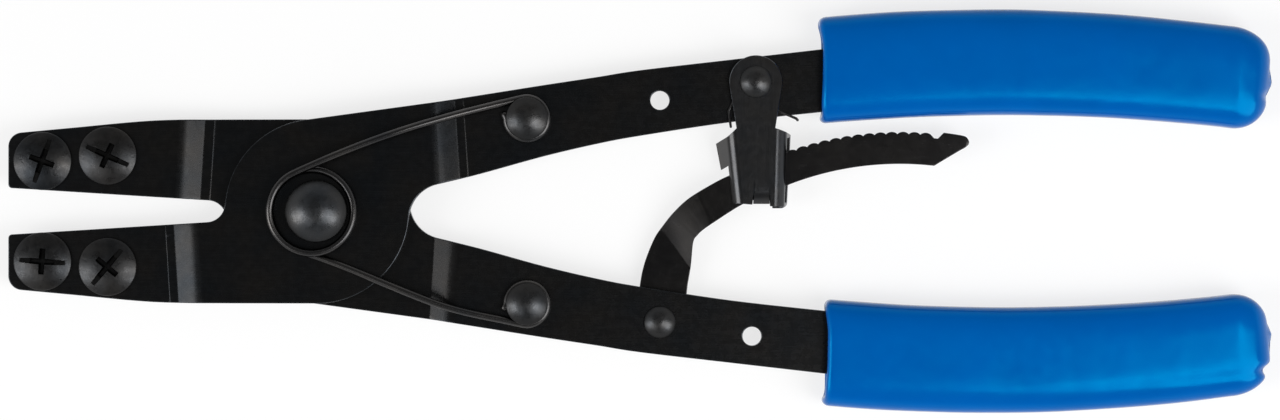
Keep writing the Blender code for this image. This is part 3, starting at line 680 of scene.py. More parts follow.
@dataclass(frozen=True)
class Steel:
    """A steel finish: mottled, faintly streaked along the rolling, rubbed bright at its edges, and darkened
    by painted shade where its faces are so marked.
    """

    name: str
    tone: float
    roughness: float
    rubbed: float
    cast: Place = (0.97, 0.99, 1.04)
    mottle: float = 0.18
    grain: float = 0.012
    streaks: float = 0.05
    rolling: Place = (24, 1, 1)
    pits: float = 0.0
    # share of the tone left on faces marked for painted shade
    warmth: Place = (1.05, 1.0, 0.96)
    painted_shade: float = 0.4
    rubbed_gloss: float = 0.08

    def build(self) -> bpy.types.Material:
        """Makes the material.

        Returns:
            The material.
        """
        brew = Brew(self.name)
        patches = brew.span(brew.noise(14, 3), 0.3, 0.7)
        dark = grey(self.tone * (1 - self.mottle), self.cast)
        light = grey(self.tone * (1 + self.mottle), self.warmth)
        base = brew.mix(patches, dark, light)
        scuffs = brew.span(brew.noise(2.2, 5), 0.38, 0.62)
        wear_and_shade = brew.wear_and_shade()
        rub = brew.sum("MULTIPLY", brew.span(wear_and_shade, 0, 1), brew.span(scuffs, 0.1, 0.9, 0.35, 1))
        base = brew.mix(rub, base, grey(self.rubbed, self.cast))
        # painted shade: faces marked below zero darken towards that share of the tone
        base = brew.mix(brew.span(wear_and_shade, 0, -1), base, grey(self.tone * self.painted_shade))
        brew.feed(brew.shader.inputs["Base Color"], base)
        brew.shader.inputs["Metallic"].default_value = 1
        streak = brew.noise(0.35, 2, self.rolling)
        rough = brew.sum("ADD", brew.span(streak, 0.3, 0.7, -self.streaks, self.streaks), self.roughness)
        rough = brew.sum("ADD", rough, brew.span(scuffs, 0, 1, -self.streaks, self.streaks))
        rough = brew.sum("SUBTRACT", rough, brew.span(rub, 0, 1, 0, self.rubbed_gloss))
        brew.feed(brew.shader.inputs["Roughness"], rough)
        skin = brew.bump(streak, self.grain)
        skin = brew.bump(brew.noise(0.5, 3), self.grain, skin)
        if self.pits:
            skin = brew.bump(brew.span(brew.noise(1.6, 2), 0.55, 0.72), -self.pits, skin)
        brew.feed(brew.shader.inputs["Normal"], skin)
        return brew.material


@dataclass(frozen=True)
class Vinyl:
    """Dipped vinyl: a deep even colour under a glossy skin that ripples a little."""

    name: str
    shade: Place
    deep: Place
    sheen: Place
    roughness: float
    gloss: float
    ior: float

    def build(self) -> bpy.types.Material:
        """Makes the material.

        Returns:
            The material.
        """
        brew = Brew(self.name)
        cloud = brew.span(brew.noise(22, 2), 0.3, 0.7)
        brew.feed(brew.shader.inputs["Base Color"], brew.mix(cloud, (*self.deep, 1), (*self.shade, 1)))
        rough = brew.span(brew.noise(3.5, 3), 0.3, 0.7, self.roughness - 0.04, self.roughness + 0.05)
        brew.feed(brew.shader.inputs["Roughness"], rough)
        brew.shader.inputs["Specular IOR Level"].default_value = self.gloss
        brew.shader.inputs["IOR"].default_value = self.ior
        brew.shader.inputs["Specular Tint"].default_value = (*self.sheen, 1)
        skin = brew.bump(brew.noise(11, 1), 0.12)
        skin = brew.bump(brew.noise(0.9, 2), 0.004, skin)
        brew.feed(brew.shader.inputs["Normal"], skin)
        return brew.material


@dataclass(frozen=True)
class Finishes:
    """Every finish of the pliers, made once."""

    oxide: bpy.types.Material
    bar_oxide: bpy.types.Material
    polished: bpy.types.Material
    wire: bpy.types.Material
    screw: bpy.types.Material
    rivet: bpy.types.Material
    clip: bpy.types.Material
    vinyl: bpy.types.Material

    @classmethod
    def make(cls) -> "Finishes":
        """Makes the finishes.

        Returns:
            All of them.
        """
        steels = {
            "oxide": Steel("black_oxide", 0.021, 0.27, 0.045, BLUISH, grain=0.003, mottle=0.1, streaks=0.02),
            "bar_oxide": Steel("bar_black_oxide", 0.026, 0.24, 0.06, ROSY, grain=0.003, streaks=0.02),
            "polished": Steel("polished_black_head", 0.056, 0.33, 0.1, BLUISH, pits=0.015, rolling=EVEN),
            "wire": Steel("oiled_spring_wire", 0.05, 0.26, 0.09, rolling=EVEN, streaks=0.02, grain=0.004),
            "screw": Steel("dull_zinc", 0.033, 0.34, 0.09, BLUISH, mottle=0.2, pits=0.02, rolling=EVEN),
            "rivet": Steel("dark_zinc", 0.05, 0.33, 0.09, BLUISH, pits=0.012, rolling=EVEN),
            "clip": Steel("satin_zinc", 0.05, 0.23, 0.14, COOL, 0.07, 0.004, 0.02, rolling=(1, 24, 1)),
        }
        vinyl = Vinyl(
            "blue_dipped_vinyl",
            shade=(0.0, 0.09, 0.385),
            deep=(0.0, 0.084, 0.36),
            sheen=(0.0, 0.62, 1.0),
            roughness=0.2,
            gloss=1.0,
            ior=1.38,
        )
        return cls(**{name: steel.build() for name, steel in steels.items()}, vinyl=vinyl.build())


# sub-assemblies


def put(
    form: bmesh.types.BMesh, name: str, body: Body, slot: Slot, finish: bpy.types.Material, *nodes: str
) -> None:
    """Sets a finished form on its body in place of the frame's plain solids.

    Args:
        form: the form, in place.
        name: of the piece.
        body: that it moves with.
        slot: the record's material slot; not used.
        finish: its material.
        nodes: the plain solids that it stands for.
    """
    mesh = to_mesh(form, name)
    mesh.materials.append(finish)
    piece = linked(name, mesh)
    normals = piece.modifiers.new("flat_faces", "WEIGHTED_NORMAL")
    normals.keep_sharp = True
    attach(piece, body.value)
    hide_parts(*nodes)
    LOG.info("%s: %d faces on %s", name, len(mesh.polygons), body.value)


@dataclass(frozen=True)
class Layout:
    """The levels, the handles' lines and the places that the sub-assemblies share."""

    middle: float = 8.5
    plate: float = 4.5
    fit: float = 0.3
    run: float = 160.5
    offset: float = 41.5
    width: float = 19.9
    stations: tuple[Place, ...] = (
        (0.234, 0.518, 1.317),
        (0.321, 0.586, 1.256),
        (0.447, 0.692, 1.136),
        (0.553, 0.771, 1.065),
        (0.637, 0.827, 1.045),
        (0.817, 0.920, 0.995),
        (1.000, 1.000, 1.000),
    )
    grip_length: float = 141.5
    grip_width: float = 33.8
    grip_end_width: float = 32.0
    grip_crest: Point = (215.0, 47.2)
    grip_bend: float = 600.0
    bar_back: float = 51.9
    clip_back: Point = (21.5, 1.9)
    hang_back: Point = (22.7, 0.7)
    post_place: Point = (66.5, 1.8)
    post_neck: float = 5.0
    hook_lift: float = 0.6
    spring_wire: float = 1.2
    rivet_shank: float = 2.7
    rivet_hole: float = 3.0
    bar_sheet: float = 2.6
    clip_sheet: float = 1.2
    clip_standoff: float = 1.5
    outer_screw: Point = (-87.0, -15.9)
    inner_screw: Point = (-66.4, -17.6)

    @property
    def face(self) -> float:
        """From the plate's middle to its face."""
        return self.plate / 2

    @property
    def lift(self) -> float:
        """How far the boss stands out of the jaw's and handle's plane."""
        return self.face + self.fit / 2

    def handle(self) -> list[Place]:
        """(x, centre, half width) along a handle, up to the grip's mouth."""
        return [(self.run * x, self.offset * y, self.width * w / 2) for x, y, w in self.stations]

    def handle_at(self, x: float) -> Point:
        """A handle's centre and half width at a distance from the pivot.

        Args:
            x: the distance.

        Returns:
            (centre, half width).
        """
        stations = self.handle()
        low, high = stations[-2:]
        for first, second in zip(stations, stations[1:]):
            if first[0] <= x <= second[0]:
                low, high = first, second
        return between(low, high, (x - low[0]) / (high[0] - low[0]))[1:]

    def hole(self, back: float, outward: float = 0) -> Point:
        """A place in the handle, back from the grip's mouth and outward of the bar's middle."""
        x = self.run - back
        return (x, self.handle_at(x)[0] + outward)

    @property
    def post(self) -> Point:
        """The upper post of the spring."""
        x, outward = self.post_place
        return (x, self.handle_at(x)[0] + outward)

    @property
    def bar_pin(self) -> Point:
        """The ratchet bar's rivet, mirrored to the upper handle."""
        return self.hole(self.bar_back)

    @property
    def clip_pin(self) -> Point:
        """The clip's rivet."""
        return self.hole(*self.clip_back)

    @property
    def lower_hang(self) -> Point:
        """The lower handle's hang hole, mirrored to the upper handle."""
        return self.hole(*self.hang_back)

    @property
    def screws(self) -> tuple[Point, Point]:
        """The tip screws of the lower jaw, the outer one first."""
        return (self.outer_screw, self.inner_screw)

    def grip_centre(self, x: float) -> float:
        """The grip's middle line."""
        return self.grip_crest[1] - (x - self.grip_crest[0]) ** 2 / (2 * self.grip_bend)

    def grip_half(self, x: float) -> float:
        """Half of the grip's width."""
        share = (x - self.run) / self.grip_length
        return (self.grip_width + (self.grip_end_width - self.grip_width) * share**2) / 2


@dataclass(frozen=True)
class Stampings:
    """The two like arms: jaw, boss and handle, with a joggle on either side of the boss."""

    layout: Layout
    boss: float = 29.2
    reach: float = 98.0
    tip_inset: float = 7.4
    root_inset: float = 3.1
    tip_depth: float = 17.2
    inner_corner: float = 1.2
    outer_corner: float = 4.5
    jaw_notch: float = 6.0
    handle_notch: float = 11.5
    belly: tuple[Point, ...] = ((0.80, 0.905), (0.53, 0.986), (0.30, 0.998))
    fold_start: float = 37.2
    fold_length: float = 8.8
    fold_lean: float = 3.6
    soft_bend: float = 0.5
    sharp_bend: float = 0.06
    die_marks: tuple[float, float] = (48.4, 34.4)
    mark_depth: float = 0.09
    mark_width: float = 0.22
    edge: float = 0.32
    neck_run: float = 12.0
    tang_start: float = 8.0
    tang_pitch: float = 9.7
    tang_points: int = 13
    tang_gap: float = 2.6
    hang_hole: float = 3.0
    post_hole: float = 3.5
    screw_hole: float = 4.3
    pivot_hole: float = 7.0

    def notch_centre(self, point: Point, slope: float, radius: float, side: int) -> Point:
        """Centre of the round notch between the boss and the straight edge through a point.

        Args:
            point: on the straight edge.
            slope: of the edge, in radians.
            radius: of the notch.
            side: 1 where the notch lies to the left of the edge, and -1 to the right.

        Returns:
            The centre.
        """
        near = (point[0] - radius * side * math.sin(slope), point[1] + radius * side * math.cos(slope))
        along = near[0] * math.cos(slope) + near[1] * math.sin(slope)
        across = near[0] ** 2 + near[1] ** 2 - along**2
        run = math.copysign(math.sqrt((self.boss + radius) ** 2 - across), point[0]) - along
        return (near[0] + run * math.cos(slope), near[1] + run * math.sin(slope))

    def tang(self) -> tuple[list[Point], list[Point]]:
        """Inner and outer edge of the handle's end, which the grip hides.

        Returns:
            The inner and the outer edge, from the grip's mouth on.
        """
        plan = self.layout
        neck = plan.run + self.neck_run
        centre, half = plan.handle_at(neck)
        inner, outer = [(neck, centre - half)], [(neck, centre + half)]
        for i in range(self.tang_points):
            x = neck + self.tang_start + i * self.tang_pitch
            inner.append((x, plan.grip_centre(x) - plan.grip_half(x) + self.tang_gap))
            outer.append((x, plan.grip_centre(x) + plan.grip_half(x) - self.tang_gap))
        return inner, outer

    def outline(self) -> list[Point]:
        """The stamping's edge, with its jaw to the lower left and its handle to the upper right.

        Returns:
            Its points, anticlockwise.
        """
        tip_inner = (-self.reach, -self.tip_inset)
        tip_outer = (-self.reach, -self.tip_inset - self.tip_depth)
        root = (-self.boss, -self.root_inset)
        belly = [(-self.reach * run, -self.boss * drop) for run, drop in self.belly]
        jaw_slope = math.radians(bearing(root, tip_inner))
        jaw_notch = self.notch_centre(root, jaw_slope, self.jaw_notch, 1)
        stations = self.layout.handle()
        inner = [(x, centre - half) for x, centre, half in stations]
        outer = [(x, centre + half) for x, centre, half in stations]
        tang_inner, tang_outer = self.tang()
        slope = math.radians(bearing(inner[1], inner[0]))
        notch = self.notch_centre(inner[0], slope, self.handle_notch, -1)
        tangent = bearing(outer[0]) + math.degrees(math.acos(self.boss / math.hypot(*outer[0])))

        points = round_corner(root, tip_inner, tip_outer, self.inner_corner)
        corner = round_corner(tip_inner, tip_outer, belly[0], self.outer_corner, 14)
        points += corner[:-1] + smooth([corner[-1]] + belly)
        points += arc((0, 0), self.boss, -90, bearing(notch), 48)
        facing = bearing((0, 0), notch) % 360
        points += arc(notch, self.handle_notch, facing, 90 + math.degrees(slope), 18)[1:]
        points += smooth(inner) + tang_inner + tang_outer[::-1] + smooth(outer[::-1])
        points += arc((0, 0), self.boss, tangent, bearing(jaw_notch) % 360, 44)
        facing = bearing((0, 0), jaw_notch)
        points += arc(jaw_notch, self.jaw_notch, facing, math.degrees(jaw_slope) - 90, 18)[1:]
        return points

    def ramp(self, share: float, start: float, end: float) -> float:
        """How far a fold has fallen, with a bend of its own at the start and the end.

        Args:
            share: of the way across the fold.
            start: share that the first bend takes.
            end: share that the last bend takes.

        Returns:
            From 0 to 1.
        """
        steep = 1 / (1 - start / 2 - end / 2)
        if share <= 0:
            return 0.0
        if share >= 1:
            return 1.0
        if share < start:
            return steep * share**2 / (2 * start)
        if share > 1 - end:
            return 1 - steep * (1 - share) ** 2 / (2 * end)
        return steep * (share - start / 2)

    def form(self, holes: list[tuple[Point, float]]) -> bmesh.types.BMesh:
        """One stamping about its own middle plane, with both joggles and the dies' marks.

        Args:
            holes: (centre, radius) of the holes that only this arm has.

        Returns:
            The form.
        """
        plan = self.layout
        screws = [(place, self.screw_hole) for place in plan.screws]
        holes = [((0, 0), self.pivot_hole), (plan.post, self.post_hole)] + screws + holes
        form = pressing(self.outline(), plan.plate, holes, self.edge)
        lean = math.radians(self.fold_lean)
        across = (math.cos(lean), math.sin(lean))
        bends = [i * self.soft_bend / 5 for i in range(6)] + [i * self.sharp_bend / 2 for i in (1, 2)]
        shares = sorted(set(bends + [1 - share for share in bends]))
        lines = [self.fold_start + share * self.fold_length for share in shares]
        for mark in self.die_marks:
            lines += [mark - self.mark_width, mark, mark + self.mark_width]
        for line in lines:
            for sign in (1, -1):
                foot = (across[0] * line * sign, across[1] * line * sign)
                score(form, foot, (foot[0] - across[1], foot[1] + across[0]))
        for vertex in form.verts:
            x, y, z = vertex.co
            run = abs(x * across[0] + y * across[1])
            share = (run - self.fold_start) / self.fold_length
            bends = (self.soft_bend, self.sharp_bend) if z > 0 else (self.sharp_bend, self.soft_bend)
            sink = 0.0
            mark = self.die_marks[0 if z > 0 else 1]
            if abs(run - mark) < self.mark_width and (z > 0 or x < 0):
                sink = self.mark_depth * (1 - abs(run - mark) / self.mark_width) * math.copysign(1, z)
            vertex.co.z += plan.lift * (1 - self.ramp(share, *bends)) - sink
        return form

    def build(self, finishes: Finishes) -> None:
        """Makes the front arm, and the back arm from the same stamping turned over.

        Args:
            finishes: every finish of the pliers.
        """
        plan = self.layout
        place = (0, 0, plan.middle)
        upper = self.form([(plan.bar_pin, self.hang_hole), (plan.clip_pin, plan.rivet_hole)])
        put(shift(upper, place), "front_stamping", Body.FRONT, Slot.BLACK, finishes.oxide, "front_arm")
        lower = turn_over(self.form([(plan.bar_pin, plan.rivet_hole), (plan.lower_hang, self.hang_hole)]))
        put(shift(lower, place), "back_stamping", Body.BACK, Slot.BLACK, finishes.oxide, "back_arm")


def dome(radius: float, base: float, height: float, steps: int = 16) -> list[Point]:
    """Profile of a shallow dome, from the axis down to its rim.

    Args:
        radius: of the rim.
        base: level of the rim.
        height: of the crown over it.
        steps: from the crown to the rim.

    Returns:
        (radius, height) of each point.
    """
    ball = (radius**2 + height**2) / (2 * height)
    turns = [math.asin(radius / ball) * i / steps for i in range(steps + 1)]
    return [(ball * math.sin(t), base + height - ball * (1 - math.cos(t))) for t in turns]


@dataclass(frozen=True)
class Fasteners:
    """The pivot with its washer, the spring's posts and the lock's rivets."""

    layout: Layout
    pivot_head: float = 9.8
    pivot_side: float = 5.3
    pivot_dome: float = 4.2
    pivot_shank: float = 6.7
    washer: Point = (12.5, 1.6)
    washer_hole: float = 7.0
    post_head: float = 6.65
    post_side: float = 0.5
    post_dome: float = 2.1
    post_shank: float = 3.2
    rivet_head: float = 5.0
    rivet_side: float = 0.4
    rivet_dome: float = 1.9
    rivet_tail: Point = (4.6, 1.3)
    rounding: float = 0.35
    washer_rounding: float = 0.2
    # painted shade on the heads' rims: the share of the radius left unshaded, and the strength of the shade
    unshaded_share: float = 0.55
    painted_shade: float = 0.85

    def paint_rim_shade(self, form: bmesh.types.BMesh, head: float, seat: float) -> bmesh.types.BMesh:
        """Marks painted shade on a head, darker towards its rim.

        Args:
            form: the turned head, changed in place.
            head: its radius.
            seat: level under it.

        Returns:
            The same form.
        """
        wear_and_shade = form.faces.layers.float.new("wear_and_shade")
        for face in form.faces:
            place = face.calc_center_median()
            if place.z > seat:
                out = math.hypot(place.x, place.y) / head
                # painted shade, growing from the unshaded share out to the rim
                face[wear_and_shade] = -self.painted_shade * max(0, out - self.unshaded_share) / (1 - self.unshaded_share)
        return form

    def pin(self, top: list[Point], head: float, seat: float, shank: float, tail: Place) -> bmesh.types.BMesh:
        """A pin between two heads.

        Args:
            top: profile of all that stands over the seat.
            head: radius at the seat.
            seat: level at which the shank starts.
            shank: its radius.
            tail: radius, top and foot of the closed end.

        Returns:
            The turned form on its own axis.
        """
        wide, level, foot = tail
        low = [(head, seat), (shank, seat), (shank, level), (wide, level), (wide, foot), (0, foot)]
        return lathe(soften(top + low, self.rounding))

    def pivot(self, finishes: Finishes) -> None:
        """The pivot rivet and the washer above its tail.

        Args:
            finishes: every finish of the pliers.
        """
        plan = self.layout
        boss = plan.lift + plan.face + plan.fit
        seat, under = plan.middle + boss, plan.middle - boss
        tail = under - self.washer[1] - plan.fit
        top = dome(self.pivot_head, seat + self.pivot_side, self.pivot_dome)
        form = self.pin(top, self.pivot_head, seat, self.pivot_shank, (self.pivot_head, tail, 0))
        form = self.paint_rim_shade(form, self.pivot_head, seat)
        put(form, "pivot_head", Body.BACK, Slot.DARK, finishes.polished, "pivot_rivet")
        bore = self.washer_hole
        wide, thick = self.washer
        ring = [(bore, under), (wide, under), (wide, under - thick), (bore, under - thick), (bore, under)]
        form = lathe(soften(ring, self.washer_rounding))
        put(form, "washer", Body.BACK, Slot.DARK, finishes.polished, "pivot_washer")

    def post(self, side: Side, body: Body, finishes: Finishes) -> None:
        """A headed post of the return spring, with the groove for its hook.

        Args:
            side: of the tool that it stands on.
            body: that it moves with.
            finishes: every finish of the pliers.
        """
        plan = self.layout
        foot = plan.face + plan.fit
        neck = foot + plan.hook_lift + 2 * plan.spring_wire + plan.fit
        top = dome(self.post_head, neck + self.post_side, self.post_dome)
        top += [(self.post_head, neck), (plan.post_neck, neck)]
        radius, thick = self.rivet_tail
        form = self.pin(top, plan.post_neck, foot, self.post_shank, (radius, -foot, -foot - thick))
        form = self.paint_rim_shade(form, self.post_head, neck)
        x, y = plan.post
        form = shift(form, (x, y * side.value, plan.middle))
        name = f"{side.name.lower()}_spring_post"
        put(form, f"{name}_head", body, Slot.ZINC, finishes.rivet, name)

    def rivet(
        self, name: str, body: Body, place: Point, seat: float, tail: float, finishes: Finishes
    ) -> None:
        """One of the lock's small domed rivets.

        Args:
            name: of the solid that it stands for.
            body: that it moves with.
            place: of its axis.
            seat: level under its head, over the plate's middle.
            tail: level of its closed end's top, over the plate's middle.
            finishes: every finish of the pliers.
        """
        plan = self.layout
        top = dome(self.rivet_head, seat + self.rivet_side, self.rivet_dome)
        radius, thick = self.rivet_tail
        form = self.pin(top, self.rivet_head, seat, plan.rivet_shank, (radius, tail, tail - thick))
        form = self.paint_rim_shade(form, self.rivet_head, seat)
        put(shift(form, (*place, plan.middle)), f"{name}_head", body, Slot.ZINC, finishes.rivet, name)

    def build(self, finishes: Finishes) -> None:
        """Makes every pin of the tool but the tip screws.

        Args:
            finishes: every finish of the pliers.
        """
        plan = self.layout
        self.pivot(finishes)
        self.post(Side.UPPER, Body.FRONT, finishes)
        self.post(Side.LOWER, Body.BACK, finishes)
        seat = plan.face + plan.fit
        x, y = plan.bar_pin
        self.rivet("ratchet_rivet", Body.BACK, (x, -y), seat, -seat - plan.bar_sheet - plan.fit, finishes)
        clip_seat = plan.face + plan.clip_standoff + plan.clip_sheet + plan.fit
        self.rivet("clip_rivet", Body.FRONT, plan.clip_pin, clip_seat, -seat, finishes)


@dataclass(frozen=True)
class TipScrews:
    """Four truss screws that hold the tips, each with a slot and a cross in its head."""

    layout: Layout
    head: float = 9.2
    side: float = 0.9
    crown: float = 2.1
    shank: float = 4.0
    protrusion: float = 2.5
    rounding: float = 0.4
    slot: tuple[float, float, float, float] = (17.0, 1.9, 0.25, 1.25)
    cross: tuple[float, float, float, float] = (8.4, 1.9, 0.5, 2.4)
    # painted shade in the slot and cross: how far under the dome's skin a face must lie, and the share of the
    # head's radius
    shade_depth: float = 0.08
    shade_share: float = 0.95
    turns: tuple[tuple[Body, str, float], ...] = (
        (Body.UPPER_OUTER, "upper_outer", 70),
        (Body.UPPER_INNER, "upper_inner", -24),
        (Body.LOWER_OUTER, "lower_outer", -4),
        (Body.LOWER_INNER, "lower_inner", 50),
    )

    def screw(self, turn: float) -> bmesh.types.BMesh:
        """One screw on its own axis, about the plate's middle.

        Args:
            turn: of the slot from +X, in degrees.

        Returns:
            The form.
        """
        plan = self.layout
        seat = plan.face + plan.fit
        top = seat + self.side + self.crown
        foot = -plan.face - self.protrusion
        profile = dome(self.head, seat + self.side, self.crown) + [
            (self.head, seat),
            (self.shank, seat),
            (self.shank, foot),
            (0, foot),
        ]
        length, width, inset, depth = self.slot
        cutters = [recess(length, width, inset, top, depth)]
        length, width, inset, depth = self.cross
        cutters += [recess(length, width, inset, top, depth), recess(width, length, inset, top, depth)]
        form = carve(lathe(soften(profile, self.rounding)), cutters)
        # Faces sunk below the dome's skin in the slot and cross are marked for painted shade.
        wear_and_shade = form.faces.layers.float.new("wear_and_shade")
        ball = (self.head**2 + self.crown**2) / (2 * self.crown)
        for face in form.faces:
            place = face.calc_center_median()
            skin = top - ball + math.sqrt(max(ball**2 - place.x**2 - place.y**2, 0))
            deep = skin - place.z > self.shade_depth and place.z > seat + self.side * 0.5
            face[wear_and_shade] = -float(deep and math.hypot(place.x, place.y) < self.head * self.shade_share)
        turned = Quaternion((0, 0, 1), math.radians(turn)).to_matrix()
        bmesh.ops.rotate(form, cent=(0, 0, 0), matrix=turned, verts=form.verts)
        return form

    def build(self, finishes: Finishes) -> None:
        """Makes the four screws.

        Args:
            finishes: every finish of the pliers.
        """
        for body, spot, turn in self.turns:
            x, y = self.layout.screws[0 if "outer" in spot else 1]
            y = -y if "upper" in spot else y
            form = shift(self.screw(turn), (x, y, self.layout.middle))
            put(form, f"{spot}_tip_screw", body, Slot.ZINC, finishes.screw, f"tip_screw_{spot}")


@dataclass(frozen=True)
class ReturnSpring:
    """Round wire wound round the pivot's head, with a leg hooked on each post."""

    layout: Layout
    coil: float = 13.2
    coil_shift: float = -1.45
    pitch: float = 2.96
    start: float = 115.0
    sweep: float = 498.0
    hook_start: float = 103.0
    hook_sweep: float = 282.0
    flare: float = 2.4
    flare_turn: float = 45.0
    leg_share: float = 0.33
    upper_angles: Point = (25.0, 13.0)
    lower_angles: Place = (-17.0, -20.0, -13.0)
    lower_bend: Point = (0.568, 0.809)

    def hook(self, side: int) -> list[Point]:
        """The hook round a post, from where the leg meets it to its flared end.

        Args:
            side: 1 for the upper post and -1 for the lower one.

        Returns:
            The hook's points.
        """
        plan = self.layout
        radius = plan.post_neck + plan.fit + plan.spring_wire
        end = self.hook_start - self.hook_sweep
        points = arc(plan.post, radius, self.hook_start, end, 40)
        root = points[-1]
        for share in (0.33, 0.66, 1):
            points += arc(root, self.flare * share, end - 90 + self.flare_turn * share, end, 1)[:1]
        return [(x, y * side) for x, y in points]

    def let_down(self, points: list[Point], start: float, end: float) -> list[Place]:
        """Lets a leg down from the coil's level to the post's.

        Args:
            points: of the leg, from the coil or to it.
            start: level at the coil.
            end: level at the post.

        Returns:
            The points with their levels.
        """
        post = self.layout.post[0]
        level = post * self.leg_share
        made = []
        for x, y in points:
            share = min(max((x - level) / (post - level), 0), 1)
            made.append((x, y, start + (end - start) * share * share * (3 - 2 * share)))
        return made

    def path(self) -> list[Place]:
        """The wire's middle line from the upper hook to the lower one.

        Returns:
            Its points, over the plate's middle.
        """
        plan = self.layout
        wire = plan.spring_wire
        low = plan.lift + plan.face + plan.fit + wire
        high = low + self.pitch * self.sweep / 360
        post = plan.face + plan.fit + plan.hook_lift + wire
        centre = (self.coil_shift, 0)
        steps = 120
        turns = arc(centre, self.coil, self.start, self.start + self.sweep, steps)
        coil = [(x, y, high + (low - high) * i / steps) for i, (x, y) in enumerate(turns)]
        upper_hook, lower_hook = self.hook(1), self.hook(-1)
        bend = tuple(place * share for place, share in zip(lower_hook[0], self.lower_bend))
        upper = bowed(turns[0], self.upper_angles[0], upper_hook[0], self.upper_angles[1], 48)
        lower = bowed(turns[-1], self.lower_angles[0], bend, self.lower_angles[1], 24)
        lower += bowed(bend, self.lower_angles[1], lower_hook[0], self.lower_angles[2], 24)[1:]
        made = [(x, y, post) for x, y in upper_hook[:0:-1]]
        made += self.let_down(upper[:0:-1], high, post) + coil + self.let_down(lower[1:], low, post)
        return made + [(x, y, post) for x, y in lower_hook[1:]]

    def build(self, finishes: Finishes) -> None:
        """Makes the spring, which is attached to neither half.

        Args:
            finishes: every finish of the pliers.
        """
        form = shift(rod(self.path(), self.layout.spring_wire), (0, 0, self.layout.middle))
        mesh = to_mesh(form, "wound_spring", 60)
        mesh.materials.append(finishes.wire)
        piece = linked("wound_spring", mesh)
        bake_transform(piece)
        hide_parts("return_spring")
        LOG.info("wound_spring: %d faces", len(mesh.polygons))


